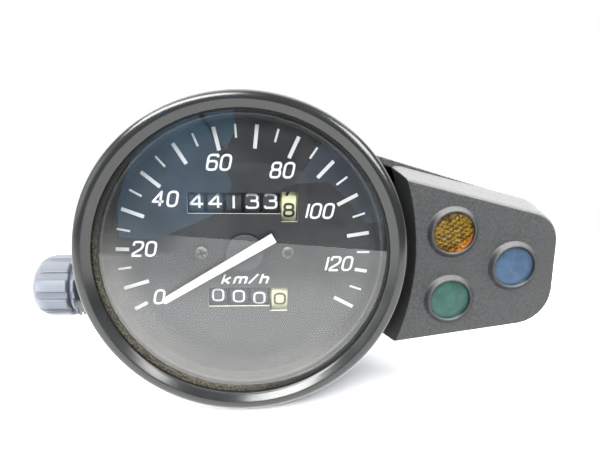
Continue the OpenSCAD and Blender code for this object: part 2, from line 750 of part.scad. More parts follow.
module number_wheel(pitch, rim, bore, slow_side, fast_side) {
    w = carry_w(pitch, rim);
    difference() {
        union() {
            rod(wheel_r, -rim / 2, rim / 2);
            if (slow_side) gear(carry_teeth, carry_module, 0.5, 0.7, 0.16, rim / 2 - eps, rim / 2 + w);
            if (fast_side) {
                rod(5.9, -rim / 2 - w, -rim / 2 + eps);
                // The two carry teeth stop short of the pinion
                for (a = [-9, 9]) rotate([0, 0, a]) translate([5, -0.4, -rim / 2 - w + 0.06])
                    cube([1.35, 0.8, w]);
            }
        }
        rod(bore / 2 + run_gap, -rim, rim);
        translate([0, 0, rim / 2 - 2.2]) difference() {
            cylinder(r = 5.2, h = 4);
            translate([0, 0, -1]) cylinder(r = 2.6, h = 6);
        }
    }
}

module odometer_wheel(i) {
    last = i == odo_wheels;
    x = odo_x(i);
    color(last ? "#d8d5b0" : "#1a1b1c") along_x(odo_y) translate([0, 0, x]) {
        rotate([0, 0, pinion_angle]) number_wheel(odo_pitch, odo_rim_w, odo_shaft_d, !last, i > 1);
        if (last) difference() {
            union() {
                rod(2.4, odo_rim_w / 2 - 0.5, gear_x + spur_w - x);
                // The wheel's gap faces the riser's worm
                rotate([0, 0, 90 + 180 / third_teeth])
                    gear(third_teeth, third_module, 0.65, 0.8, worm_slack,
                         riser_x - x - worm_wheel_w / 2, riser_x - x + worm_wheel_w / 2);
                gear(spur_teeth, spur_module, 0.35, 0.45, 0.1, gear_x - x, gear_x + spur_w - x);
            }
            rod(odo_shaft_d / 2 + run_gap, -1, gear_x + spur_w - x + 1);
        }
    }
}

module trip_wheel(i) {
    last = i == trip_wheels;
    color(last ? "#d8d5b0" : "#1a1b1c") along_x(-trip_y) translate([0, 0, trip_x(i)])
        rotate([0, 0, -pinion_angle])
            number_wheel(trip_pitch, trip_rim_w, trip_shaft_d, !last, i > 1);
}

// Transfer pinion between two wheels, made along z at the middle of their gap
module transfer_pinion(y, x, angle, pitch, rim) {
    w = (pitch - rim) / 2 - 0.1;
    color("#c9c5b4") along_x(y) rotate([0, 0, angle]) translate([carry_dist, 0, x]) difference() {
        rotate([0, 0, 180 + 180 / pinion_teeth])
            gear(pinion_teeth, carry_module, 0.5, 0.7, 0.16, -w, w);
        rod(pinion_shaft_d / 2 + run_gap, -2, 2);
    }
}

module odometer_pinion(i) {
    transfer_pinion(odo_y, (odo_x(i) + odo_x(i + 1)) / 2, pinion_angle, odo_pitch, odo_rim_w);
}

module trip_pinion(i) {
    transfer_pinion(-trip_y, (trip_x(i) + trip_x(i + 1)) / 2, -pinion_angle, trip_pitch, trip_rim_w);
}

module odometer_shaft() {
    color("#a8abad") along_x(odo_y) rod(odo_shaft_d / 2, left_cheek_x, right_cheek_x + cheek_t);
}

module pinion_shafts() {
    color("#a8abad") for (s = [-1, 1]) along_x(s > 0 ? odo_y : -trip_y) rotate([0, 0, s * pinion_angle])
        translate([carry_dist, 0, 0])
            rod(pinion_shaft_d / 2, left_cheek_x, right_cheek_x + cheek_t);
}

module trip_idler_gear() {
    color("#c9c5b4") translate([0, idler_y, axis_z]) rotate([0, 90, 0]) difference() {
        rotate([0, 0, 90 + 180 / idler_teeth])
            gear(idler_teeth, spur_module, 0.35, 0.45, 0.1, gear_x, gear_x + spur_w);
        rod(1.2 + run_gap, gear_x - 1, gear_x + spur_w + 1);
    }
}

module trip_drive_gear() {
    color("#c9c5b4") along_x(-trip_y) difference() {
        union() {
            rotate([0, 0, 90 + 180 / spur_teeth])
                gear(spur_teeth, spur_module, 0.35, 0.45, 0.1, gear_x, gear_x + spur_w);
            rod(2.8, trip_last_x + trip_rim_w / 2 + 0.3, gear_x);
            rod(4.6, trip_last_x + trip_rim_w / 2 + 0.3, trip_last_x + trip_rim_w / 2 + 1.3);
        }
        rod(trip_shaft_d / 2 + run_gap, 0, gear_x + spur_w + 1);
    }
}

// Reset

module trip_shaft() {
    color("#a8abad") along_x(-trip_y) difference() {
        union() {
            rod(trip_shaft_d / 2, -knob_x + 4, right_cheek_x + cheek_t + 0.4);
            rod(2.6, left_cheek_x + cheek_t + 0.2, trip_x(1) - trip_rim_w / 2 - 0.2);
        }
        // Slot that picks the wheels up when they are set back to zero
        translate([trip_shaft_d / 2 - 0.5, -0.3, trip_x(1) - trip_rim_w / 2])
            cube([1, 0.6, trip_last_x - trip_x(1) + trip_rim_w]);
    }
}

module reset_knob() {
    r = knob_d / 2;
    x1 = -knob_x + knob_len;
    neck_x = x1 - 1.9;
    color("#8e98a6") along_x(-trip_y) difference() {
        rotate_extrude($fn = 64) polygon(concat(
            [[0, x1], [0, -knob_x]],
            [for (p = arc(r - knob_round, -knob_x + knob_round, knob_round, knob_round, -90, 0, 7)) p],
            [[r, neck_x], [r - 1.6, neck_x + 0.2], [r - 1.6, neck_x + 1], [r, neck_x + 1.2], [r, x1]]));
        for (i = [0:knob_grooves - 1]) rotate([0, 0, i * 360 / knob_grooves])
            translate([r - knob_groove_depth, -knob_groove_w / 2, -knob_x - 1])
                cube([2, knob_groove_w, knob_len + 2]);
        rod(trip_shaft_d / 2, -knob_x + 4, x1 + 1);
    }
}

module reset_seal() {
    color("#1d1d1e") along_x(-trip_y) difference() {
        union() {
            rod(4.4, -case_r - 2, -case_r + 4.4);
            rod(5.8, -case_r - 3.4, -case_r - 2);
            rod(4.4, -knob_x + knob_len + 0.3, -case_r - 3.4);
        }
        rod(trip_shaft_d / 2 + run_gap, -knob_x, 0);
    }
}

// Lamps for the dial

module dial_lamp_sockets() {
    color("#1f1f20") for (p = dial_lamps) translate([p[0], p[1], 0]) difference() {
        union() {
            rod(dial_socket_d / 2 + 1.6, -1.4, 0);
            rod(dial_socket_d / 2, -dial_socket_back, dial_socket_in);
        }
        rod(bulb_d / 2, -2, 4);
    }
}

module dial_lamp_bulbs() {
    color("#e6e2d0", 0.6) for (p = dial_lamps) translate([p[0], p[1], 0]) {
        rod(bulb_d / 2, -2, 8);
        intersection() {
            translate([0, 0, 8]) sphere(d = bulb_d, $fn = 32);
            rod(bulb_d, 8, 12);
        }
    }
}

// Stay

module stay_screw_holes() {
    for (p = stay_screws) translate([p[0], p[1], 0]) children();
}

// Bent section seen along y: plate behind the case, upright beside it, flange behind the lamp unit
module stay_section() {
    flange_front = cover_back_z;
    o = bend_r + stay_t;
    difference() {
        union() {
            translate([stud_span / 2 + 4, stay_back])
                square([upright_x + stay_t - o - stud_span / 2 - 4, stay_t]);
            translate([upright_x + stay_t - o, stay_back + o]) circle(r = o);
            translate([upright_x, stay_back + o])
                square([stay_t, flange_front - stay_t - bend_r - stay_back - o]);
            translate([upright_x + o, flange_front - o]) circle(r = o);
            translate([upright_x + o, flange_front - stay_t]) square([stay_flange_w - o, stay_t]);
        }
        translate([upright_x + stay_t - o, stay_back + o]) circle(r = bend_r);
        translate([upright_x + stay_t - 2 * o, stay_back + o]) square([2 * o - stay_t, o + 1]);
        translate([upright_x + stay_t - 2 * o - 1, stay_front]) square([o + 1, 2 * o]);
        translate([upright_x + o, flange_front - o]) circle(r = bend_r);
        translate([upright_x + stay_t, flange_front - 2 * o - 1]) square([2 * o, o + 1]);
        translate([upright_x + o, flange_front - 2 * o]) square([o + 1, 2 * o - stay_t]);
    }
}

module stay() {
    tab_w = 18;
    color("#1e2022") difference() {
        union() {
            translate([0, 0, stay_back]) linear_extrude(height = stay_t) {
                circle(r = 15);
                translate([-stud_span / 2, stud_y - 8.5]) square([stud_span, 17]);
                for (s = [-1, 1]) translate([s * stud_span / 2, stud_y]) circle(r = 8.5);
                translate([-tab_w / 2, -stay_hole_y]) square([tab_w, stay_hole_y - 10]);
                translate([-stay_hole_span / 2, -stay_hole_y - 7.5]) square([stay_hole_span, 15]);
                for (s = [-1, 1]) translate([s * stay_hole_span / 2, -stay_hole_y]) circle(r = 7.5);
                translate([stud_span / 2, -8]) square([5, 18]);
            }
            translate([0, 10, 0]) rotate([90, 0, 0]) linear_extrude(height = 18) stay_section();
            translate([upright_x + bend_r + stay_t, stay_screws[1][1] - 4, cover_back_z - stay_t])
                cube([stay_flange_w - bend_r - stay_t, stay_screws[0][1] - stay_screws[1][1] + 8, stay_t]);
        }
        translate([0, 0, stay_back - 1]) cylinder(r = 11, h = stay_t + 2);
        for (s = [-1, 1]) {
            translate([s * stud_span / 2, stud_y, stay_back - 1])
                cylinder(r = damper_neck_r, h = stay_t + 2);
            translate([s * stay_hole_span / 2, -stay_hole_y, stay_back - 1])
                cylinder(d = stay_hole_d, h = stay_t + 2);
        }
        stay_screw_holes() rod(2.1, cover_back_z - stay_t - 1, cover_back_z + 1);
    }
}

module stay_dampers() {
    color("#232324") for (s = [-1, 1]) translate([s * stud_span / 2, stud_y, 0]) difference() {
        union() {
            rod(damper_r, -damper_t, 0);
            rod(damper_neck_r, stay_back, stay_front);
            rod(damper_r, stay_back - damper_t, stay_back);
        }
        rod(stud_d / 2, stay_back - damper_t - 1, 1);
    }
}

module stay_fasteners() {
    washer_z = stay_back - damper_t;
    color("#b9bcbf") for (s = [-1, 1]) translate([s * stud_span / 2, stud_y, 0]) {
        ring(stud_d / 2, 6.2, washer_z - 1, washer_z);
        difference() {
            translate([0, 0, washer_z - 5]) cylinder(r = 4.6, h = 4, $fn = 6);
            rod(stud_d / 2, washer_z - 6, washer_z);
        }
    }
}

// Lamp unit

// Corner circles moved outwards by d, or inwards when d is negative: a sharp corner keeps its
// radius and moves along the line to the unit's middle
function moved(corners, d) =
    [for (c = corners) let (v = [c[0], c[1]] - lamp_middle)
        c[2] + d > 0.5 ? [c[0], c[1], c[2] + d]
        : let (q = [c[0], c[1]] + v / norm(v) * 1.25 * (d + c[2] - 0.6)) [q[0], q[1], 0.6]];

module corner_discs(corners) {
    for (c = corners) translate([c[0], c[1]]) circle(r = c[2], $fn = 32);
}

// Block between two levels with an outline of its own at each
module drafted(z0, corners0, z1, corners1) {
    hull() {
        translate([0, 0, z0]) linear_extrude(height = eps) corner_discs(corners0);
        translate([0, 0, z1 - eps]) linear_extrude(height = eps) corner_discs(corners1);
    }
}

// Room beside the bezel that the lamp housing's hollow side keeps free, drafted like its other walls
module hollow(wall) {
    translate(hollow_place + [0, 0, lamp_back_z - 2])
        cylinder(r1 = hollow_r + wall - lamp_draft / 2, r2 = hollow_r + wall, h = lamp_depth + 3, $fn = 96);
}

module lamp_housing() {
    color("#3c3e40") difference() {
        union() {
            difference() {
                hull() {
                    drafted(lamp_back_z, moved(lamp_corners, lamp_draft), face_z - lamp_edge, lamp_corners);
                    translate([0, 0, face_z - eps]) linear_extrude(height = eps)
                        corner_discs(moved(lamp_corners, -0.8 * lamp_edge));
                }
                difference() {
                    drafted(lamp_back_z - 1, moved(lamp_corners, lamp_draft - lamp_wall),
                            face_z - lamp_wall, moved(lamp_corners, -lamp_wall));
                    hollow(lamp_wall);
                }
            }
            for (p = lens_places) translate([p[0], p[1], 0]) {
                rotate_extrude() polygon(concat(
                    [[0, face_z + collar_h], [0, face_z - 1], [collar_r + collar_flare, face_z - 1]],
                    arc(collar_r + collar_flare, fillet_top, collar_flare, fillet_top - face_z + 2 * eps,
                        270, 180, 6),
                    [[collar_r - 0.4, face_z + collar_h]]));
                rod(well_r, lamp_back_z, face_z - 1);
            }
            for (p = cover_screws) translate([p[0], p[1], 0]) rod(cover_boss_r, lamp_back_z, face_z - 1);
        }
        hollow(0);
        for (p = lens_places) translate([p[0], p[1], 0]) {
            rod(lens_r, face_z - 3, face_z + collar_h + 1);
            rod(well_r - well_t, lamp_back_z - 1, face_z - lamp_wall);
        }
        for (p = cover_screws) translate([p[0], p[1], 0]) rod(1.1, lamp_back_z - 1, face_z - 3);
    }
}

module lamp_back_cover() {
    color("#2c2e30") difference() {
        union() {
            difference() {
                drafted(cover_back_z, moved(cover_corners, -cover_draft), lamp_back_z, cover_corners);
                difference() {
                    drafted(cover_back_z + lamp_wall, moved(cover_corners, -cover_draft - lamp_wall),
                            lamp_back_z + 1, moved(cover_corners, -lamp_wall));
                    rod(cover_arc_r + lamp_wall, cover_back_z - 1, lamp_back_z + 2);
                }
            }
            stay_screw_holes() rod(stay_boss_r, cover_back_z, lamp_back_z - 4);
            for (p = cover_screws) translate([p[0], p[1], 0])
                rod(cover_boss_r, cover_back_z + 0.5, lamp_back_z);
        }
        rod(cover_arc_r, cover_back_z - 1, lamp_back_z + 1, $fn = 96);
        stay_screw_holes() rod(1.8, cover_back_z - 1, cover_back_z + 9);
        for (p = lens_places) translate([p[0], p[1], 0])
            rod(lamp_socket_d / 2, cover_back_z - 1, cover_back_z + 3);
        for (p = cover_screws) translate([p[0], p[1], 0]) {
            rod(1.3, cover_back_z - 1, lamp_back_z + 1);
            rod(2, cover_back_z - 1, cover_back_z + 2);
        }
    }
}

module lens(place, dome) {
    translate([place[0], place[1], 0]) {
        rod(lens_r + 0.8, face_z - lamp_wall - 1, face_z - lamp_wall);
        rod(lens_r, face_z - lamp_wall, face_z + collar_h - 0.9);
        translate([0, 0, face_z + collar_h - 0.9]) cylinder(r1 = lens_r, r2 = lens_r - 1.6, h = dome);
    }
}

module amber_lens() {
    color("#d08a10", 0.8) lens(lens_places[0], 0.6);
}

module blue_lens() {
    color("#5a7fb8", 0.8) lens(lens_places[1], 0.35);
}

module green_lens() {
    color("#3f8f74", 0.8) lens(lens_places[2], 0.35);
}

module lamp_sockets() {
    color("#1f1f20") for (p = lens_places) translate([p[0], p[1], 0]) difference() {
        union() {
            rod(lamp_socket_d / 2, cover_back_z - 5, lamp_back_z - 3);
            rod(lamp_socket_d / 2 + 0.5, cover_back_z - 1.4, cover_back_z);
        }
        rod(bulb_d / 2, cover_back_z + 4, lamp_back_z - 2);
    }
}

module lamp_bulbs() {
    color("#e6e2d0", 0.6) for (p = lens_places) translate([p[0], p[1], 0]) {
        rod(bulb_d / 2, cover_back_z + 4, lamp_back_z + 1);
        intersection() {
            translate([0, 0, lamp_back_z + 1]) sphere(d = bulb_d, $fn = 32);
            rod(bulb_d, lamp_back_z + 1, lamp_back_z + 5);
        }
    }
}

module lamp_screws() {
    head_z = cover_back_z - stay_t;
    color("#b9bcbf") {
        stay_screw_holes() {
            rod(1.8, head_z, cover_back_z + 8);
            difference() {
                rod(3.4, head_z - 2.4, head_z);
                translate([-3, -0.5, head_z - 2.5]) cube([6, 1, 1]);
            }
        }
        for (p = cover_screws) translate([p[0], p[1], 0]) {
            rod(1.1, cover_back_z + 2, face_z - 4);
            rod(1.9, cover_back_z + 0.2, cover_back_z + 2);
        }
    }
}

face_out() case();
face_out() bezel();
face_out() glass();
face_out() glass_gasket();
face_out() dial_surround();
face_out() dial_plate();
face_out() dial_screws();
face_out() pointer();
face_out() pointer_hub();
face_out() pointer_spindle();
face_out() speed_cup();
face_out() hairspring();
face_out() hairspring_regulator();
face_out() field_ring();
face_out() magnet();
face_out() drive_spindle();
face_out() spindle_bush();
face_out() drive_housing();
face_out() cross_shaft();
face_out() riser_shaft();
face_out() movement_frame();
face_out() movement_screws();
face_out() odometer_shaft();
face_out() odometer_wheel(1);  // odometer_wheel_1
face_out() odometer_wheel(2);  // odometer_wheel_2
face_out() odometer_wheel(3);  // odometer_wheel_3
face_out() odometer_wheel(4);  // odometer_wheel_4
face_out() odometer_wheel(5);  // odometer_wheel_5
face_out() odometer_wheel(6);  // odometer_wheel_6
face_out() odometer_pinion(1);  // odometer_pinion_1
face_out() odometer_pinion(2);  // odometer_pinion_2
face_out() odometer_pinion(3);  // odometer_pinion_3
face_out() odometer_pinion(4);  // odometer_pinion_4
face_out() odometer_pinion(5);  // odometer_pinion_5
face_out() pinion_shafts();
face_out() trip_shaft();
face_out() trip_wheel(1);  // trip_wheel_1
face_out() trip_wheel(2);  // trip_wheel_2
face_out() trip_wheel(3);  // trip_wheel_3
face_out() trip_wheel(4);  // trip_wheel_4
face_out() trip_pinion(1);  // trip_pinion_1
face_out() trip_pinion(2);  // trip_pinion_2
face_out() trip_pinion(3);  // trip_pinion_3
face_out() trip_idler_gear();
face_out() trip_drive_gear();
face_out() reset_knob();
face_out() reset_seal();
face_out() dial_lamp_sockets();
face_out() dial_lamp_bulbs();
face_out() stay();
face_out() stay_dampers();
face_out() stay_fasteners();
face_out() lamp_housing();
face_out() lamp_back_cover();
face_out() amber_lens();
face_out() blue_lens();
face_out() green_lens();
face_out() lamp_sockets();
face_out() lamp_bulbs();
face_out() lamp_screws();
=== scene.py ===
# %% [markdown]
# # A small round speedometer with a warning-lamp unit
# The mechanism, case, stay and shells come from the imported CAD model. This lesson dresses that
# model: it prints the dial, paints the number wheels, moulds softer plastic edges, makes the
# glass and its perished gasket, and lights the result on a white table.

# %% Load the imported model
import math
import random

import bpy
from mathutils import Matrix, Vector, noise

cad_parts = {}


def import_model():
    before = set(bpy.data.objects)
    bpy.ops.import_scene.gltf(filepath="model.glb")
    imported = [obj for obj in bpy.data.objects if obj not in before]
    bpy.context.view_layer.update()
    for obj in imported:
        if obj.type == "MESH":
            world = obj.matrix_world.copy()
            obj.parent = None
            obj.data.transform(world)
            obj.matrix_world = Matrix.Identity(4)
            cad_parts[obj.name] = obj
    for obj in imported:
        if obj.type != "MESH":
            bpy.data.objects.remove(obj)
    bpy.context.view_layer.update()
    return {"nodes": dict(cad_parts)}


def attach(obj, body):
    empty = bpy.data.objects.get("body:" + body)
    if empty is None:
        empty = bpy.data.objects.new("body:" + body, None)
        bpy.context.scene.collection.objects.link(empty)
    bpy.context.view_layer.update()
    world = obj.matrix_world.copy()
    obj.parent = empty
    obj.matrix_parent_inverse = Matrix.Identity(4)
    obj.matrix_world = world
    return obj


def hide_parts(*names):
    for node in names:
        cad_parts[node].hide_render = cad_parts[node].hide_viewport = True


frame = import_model()
nodes = frame["nodes"]

# %% [markdown]
# ## The dial's own coordinates
# A dial maker measures across and up from the pointer's axis, and outwards from the back of the
# case. Every size below is written in those coordinates, in millimetres, and one function turns
# them into the model's metres, where the dial faces -Y.

# %% Coordinates and sizes
MM = 0.001
DIAL_Z = 48.0  # printed face of the dial
GLASS_TOP = 53.1
WHEEL_Z, WHEEL_R = 38.0, 8.5  # axis and rim of the number wheels
ODO_Y, TRIP_Y = 12.5, -11.9  # axes of the two counters
FACE_Z = 51.0  # front face of the lamp unit


def at(x, y, z):
    return Vector((x * MM, -z * MM, y * MM))


print("dial's middle", [round(v, 4) for v in at(0, 0, DIAL_Z)], "m")

# %% [markdown]
# ## Camera
# The camera was solved from the circles and tick marks of the photographed dial: a short lens,
# 16 cm in front of the case's back and a little above the dial's centre. Its axes are written
# down instead of angles, because a solved camera comes as axes and needs no order of turns.

# %% Camera
SENSOR = 36
FOCAL_PX, PHOTO_WIDTH = 460, 600
EYE = (5.1, -159.15, 33.24)  # in the model's axes, in millimetres


def make_camera():
    data = bpy.data.cameras.new("camera")
    data.sensor_width = SENSOR
    data.lens = FOCAL_PX / PHOTO_WIDTH * SENSOR
    data.clip_start, data.clip_end = 0.01, 20
    cam = bpy.data.objects.new("camera", data)
    right = Vector((0.9972, -0.0718, 0.0192)).normalized()
    back = Vector((-0.0743, -0.9708, 0.2282)).normalized()
    up = back.cross(right).normalized()
    turn = Matrix((right, up, back)).transposed().to_4x4()
    cam.matrix_world = Matrix.Translation(Vector(EYE) * MM) @ turn
    bpy.context.scene.collection.objects.link(cam)
    bpy.context.scene.camera = cam
    print("lens", round(data.lens, 1), "mm")


make_camera()

# %% [markdown]
# ## Shader arithmetic
# A finish is a formula: so much dust here, a little more gloss there. Writing it as nodes by hand
# hides the formula, so a socket is wrapped in a small class and plain Python arithmetic adds the
# Math nodes. Every other node comes from one method, Graph.add.

# %% A socket that can be added and multiplied
class Wire:
    def __init__(self, graph, socket):
        self.graph, self.socket = graph, socket

    def math(self, kind, *values):
        return self.graph.add("ShaderNodeMath", {"operation": kind}, dict(enumerate(values)))

    def __add__(self, other):
        return self.math("ADD", self, other)

    def __radd__(self, other):
        return self.math("ADD", other, self)

    def __sub__(self, other):
        return self.math("SUBTRACT", self, other)

    def __rsub__(self, other):
        return self.math("SUBTRACT", other, self)

    def __mul__(self, other):
        return self.math("MULTIPLY", self, other)

    def __rmul__(self, other):
        return self.math("MULTIPLY", other, self)

    def __pow__(self, other):
        return self.math("POWER", self, other)

    def __abs__(self):
        return self.math("ABSOLUTE", self)

    def higher(self, other):
        return self.math("MAXIMUM", self, other)

    def step(self, low, high):
        """0 below low, 1 above high, and a soft change between them."""
        settings = {"interpolation_type": "SMOOTHSTEP"}
        return self.graph.add("ShaderNodeMapRange", settings, {0: self, 1: low, 2: high, 3: 0, 4: 1})


# %% The nodes of a finish, or of the world
class Graph:
    def __init__(self, owner):
        owner.use_nodes = True
        self.nodes, self.links = owner.node_tree.nodes, owner.node_tree.links

    def feed(self, socket, value):
        if isinstance(value, Wire):
            self.links.new(value.socket, socket)
        elif isinstance(value, (tuple, list)) and socket.type == "RGBA":
            socket.default_value = (*value[:3], 1)
        else:
            socket.default_value = value

    def add(self, kind, settings=None, sockets=None, out=0):
        node = self.nodes.new(kind)
        for key, value in (settings or {}).items():
            if key == "stops":
                ramp = node.color_ramp
                while len(ramp.elements) < len(value):
                    ramp.elements.new(0.5)
                for element, (place, shade) in zip(ramp.elements, value):
                    element.position, element.color = place, (*shade, 1)
            else:
                setattr(node, key, value)
        for key, value in (sockets or {}).items():
            self.feed(node.inputs[key], value)
        return Wire(self, node.outputs[out])

    def mix(self, factor, first, second):
        """The first shader where factor is 0, the second where it is 1."""
        return self.add("ShaderNodeMixShader", {}, {0: factor, 1: first, 2: second}, out="Shader")

    def shine(self, shade, strength=1.0):
        return self.add("ShaderNodeEmission", {}, {"Color": shade, "Strength": strength}, out="Emission")


# %% [markdown]
# A finish is one material. It starts as Blender's own Principled shader, and the methods below
# are the few things that every finish here is made of: where the point is, which way it faces,
# noise of a known size in millimetres, a mix of two colours and a relief.

# %% A finish: one material and its nodes
class Finish(Graph):
    def __init__(self, name, **uniform):
        self.material = bpy.data.materials.new(name)
        super().__init__(self.material)
        self.skin = self.nodes["Principled BSDF"]
        self.set(**uniform)

    def set(self, **values):
        """Sets the shader's sockets, with base_color standing for Base Color, and so on."""
        for key, value in values.items():
            self.feed(self.skin.inputs[key.replace("_", " ").title().replace("Ior", "IOR")], value)
        return self

    def surface(self, shader):
        """Lets another shader take the Principled one's place."""
        self.links.new(shader.socket, self.nodes["Material Output"].inputs["Surface"])
        return self

    def own_skin(self):
        return Wire(self, self.skin.outputs["BSDF"])

    def axes(self, what):
        """One of the object's own coordinates, as three wires."""
        coordinate = self.add("ShaderNodeTexCoord", out=what)
        xyz = self.add("ShaderNodeSeparateXYZ", {}, {0: coordinate})
        return [Wire(self, xyz.socket.node.outputs[i]) for i in range(3)]

    def place(self):
        """The point on the object, in millimetres."""
        return [wire * 1000 for wire in self.axes("Object")]

    def facing(self):
        """The surface's direction in the object."""
        return self.axes("Normal")

    def scaled(self, size, stretch=(1, 1, 1)):
        """Coordinates in which a pattern's features are about size millimetres across."""
        spot = self.add("ShaderNodeTexCoord", out="Object")
        scale = tuple(1000 / size / s for s in stretch)
        return self.add("ShaderNodeMapping", {}, {"Vector": spot, "Scale": scale})

    def grain(self, size, detail=2.0, rough=0.5, stretch=(1, 1, 1)):
        """Noise from 0 to 1."""
        sockets = {"Vector": self.scaled(size, stretch), "Scale": 1, "Detail": detail, "Roughness": rough}
        return self.add("ShaderNodeTexNoise", {}, sockets)

    def cells(self, size):
        """Distance to the nearest of many scattered points."""
        return self.add("ShaderNodeTexVoronoi", {}, {"Vector": self.scaled(size), "Scale": 1}, out="Distance")

    def blend(self, a, b, factor):
        """Colour a where factor is 0, colour b where it is 1."""
        return self.add("ShaderNodeMix", {"data_type": "RGBA"}, {0: factor, 6: a, 7: b}, out=2)

    def bump(self, height, depth):
        """Relief of the given depth in millimetres."""
        return self.set(normal=self.add("ShaderNodeBump", {}, {"Distance": depth * MM, "Height": height}))


def wear(obj, finish):
    """Gives every material slot of an object the finish."""
    if not obj.material_slots:
        obj.data.materials.append(finish.material)
    for place in obj.material_slots:
        place.material = finish.material
    return obj


# %% [markdown]
# ## Finishes of the housing
# The bezel and the case are steel with semi-gloss black paint. Paint on a rolled ring is never
# even: it has a fine orange-peel relief, dull patches where it was handled, and dust. The lamp
# unit is moulded plastic with a spark-eroded texture, which looks dark grey because every small
# facet scatters some light.

# %% Black paint
def black_paint(name, shade, rough, dust_and_sheen=0.25, peel=0.012, top_dust_and_highlight=0.0):
    f = Finish(name, ior=1.46)
    patches = f.grain(9, 4)
    scuffs = f.grain(1.2, 5, 0.7).step(0.58, 0.78)
    dust = (f.grain(0.35, 3, 0.6).step(0.6, 0.72) * patches.step(0.4, 0.65)) * dust_and_sheen
    # Up-facing parts of the rolled edge take a pale tone: dust lying there, and a painted highlight of the
    # light from above
    up = f.facing()[2]
    x, _, z = f.place()
    dust_and_top_light = up.step(0.35, 0.8) * ((x ** 2 + z ** 2) ** 0.5).step(37, 37.6) * top_dust_and_highlight
    tone = f.blend(f.blend(shade, tuple(c * 1.6 for c in shade), patches), (0.34, 0.33, 0.3), dust)
    f.set(base_color=f.blend(tone, (0.22, 0.22, 0.21), dust_and_top_light), specular_tint=(1, 1, 0.95),
          roughness=rough + 0.08 * patches + 0.12 * scuffs + 0.3 * dust)
    return f.bump(f.grain(0.8, 2) + 0.4 * scuffs, peel)


# The bezel's last value paints the pale top of its rolled edge: dust with a painted highlight
bezel_paint = black_paint("bezel_paint", (0.015, 0.0155, 0.0165), 0.13, 0.12, 0.004, 0.95)
case_paint = black_paint("case_paint", (0.017, 0.0175, 0.019), 0.34, 0.4)
stay_paint = black_paint("stay_paint", (0.02, 0.021, 0.023), 0.38, 0.5)
print("paints", len(bpy.data.materials))


# %% Textured plastic of the lamp unit
def lamp_plastic(name, shade, rough, dust_and_sheen):
    f = Finish(name, ior=1.45)
    spark = f.grain(0.42, 4, 0.7)
    pits = f.cells(0.3)
    broad = f.grain(14, 3)
    dust = f.grain(0.5, 4, 0.7).step(0.6, 0.74) * 0.15
    nx, _, nz = f.facing()
    # Walls that face up, and a little to the left, take the pale tone given for the tops: dust lying there,
    # and a painted sheen of the light from above
    dust_and_top_light = (nz - 0.15 * nx).step(0.15, 0.75) * (0.7 + 0.3 * f.grain(2, 4, 0.7))
    tone = f.blend(tuple(c * 0.75 for c in shade), tuple(c * 2.1 for c in shade), spark.step(0.4, 0.62))
    tone = f.blend(tone, tuple(c * 1.4 for c in shade), broad.step(0.4, 0.7) * 0.5)
    tone = f.blend(tone, dust_and_sheen, dust_and_top_light)
    # Sides that face left or down are painted near black and dull, as painted shade
    painted_shade = (0 - nx).step(0.4, 0.8).higher((0.4 * nx - nz).step(0.12, 0.5))
    tone = f.blend(f.blend(tone, (0.3, 0.3, 0.29), dust), (0.004, 0.004, 0.005), painted_shade * 0.9)
    f.set(base_color=tone, roughness=rough + 0.2 * spark + 0.25 * painted_shade)
    return f.bump(spark + 0.4 * pits, 0.2)


# The last colour of each shell is the pale tone of its top walls: dust with a painted sheen
front_plastic = lamp_plastic("lamp_front_plastic", (0.021, 0.0222, 0.0222), 0.42, (0.155, 0.154, 0.147))
back_plastic = lamp_plastic("lamp_back_plastic", (0.03, 0.031, 0.032), 0.3, (0.24, 0.238, 0.23))
print("paints and lamp plastics", len(bpy.data.materials))

# %% [markdown]
# ## Plain finishes of the mechanism
# Shafts are turned, so their fine lines run round them. Die castings are mottled, moulded wheels
# have a slight sheen, and rubber is dull with a bloom. One function for each family keeps them
# apart without a long list of settings.

# %% Metals, plastics and rubber
def metal(name, shade, rough, lines=(1, 1, 1), size=0.3):
    f = Finish(name, metallic=1.0)
    cut = f.grain(size, 3, 0.6, lines)
    stain = f.grain(5, 4, 0.6).step(0.45, 0.75)
    f.set(base_color=f.blend(shade, tuple(c * 0.62 for c in shade), stain * 0.7),
          roughness=rough + 0.16 * stain + 0.08 * cut)
    return f.bump(cut, 0.012)


def moulded(name, shade, rough, bloom=0.2):
    f = Finish(name, ior=1.48)
    haze = f.grain(3, 4, 0.6)
    specks = f.grain(0.3, 3, 0.6).step(0.6, 0.75) * bloom
    tone = f.blend(shade, tuple(min(1, c * 1.25 + 0.004) for c in shade), haze)
    f.set(base_color=f.blend(tone, (0.4, 0.39, 0.36), specks), roughness=rough + 0.12 * haze)
    return f.bump(f.grain(0.5, 3), 0.01)


steel = metal("bright_steel", (0.56, 0.57, 0.58), 0.26)
turned_steel = metal("turned_steel", (0.5, 0.51, 0.52), 0.3, (1, 1, 6), 0.2)
zinc = metal("zinc_plate", (0.3, 0.3, 0.28), 0.36)
casting = metal("die_casting", (0.3, 0.305, 0.31), 0.46, size=0.8)
brass = metal("brass", (0.72, 0.53, 0.24), 0.3)
magnet_metal = metal("sintered_magnet", (0.23, 0.23, 0.24), 0.5)
cup_metal = metal("cup_aluminium", (0.76, 0.77, 0.78), 0.28, (1, 1, 5))
acetal = moulded("acetal", (0.74, 0.72, 0.64), 0.42, 0.05)
wheel_black = moulded("wheel_black", (0.007, 0.008, 0.011), 0.45, 0.03)
wheel_cream = moulded("wheel_cream", (0.52, 0.53, 0.32), 0.5, 0.1)
rubber = moulded("rubber", (0.018, 0.018, 0.019), 0.62, 0.25)
bulb_glass = Finish("bulb_glass", roughness=0.05, ior=1.5, transmission_weight=0.85)
soot = bulb_glass.grain(1.5).step(0.5, 0.8) * 0.3
bulb_glass.set(base_color=bulb_glass.blend((0.95, 0.93, 0.86), (0.6, 0.55, 0.45), soot))
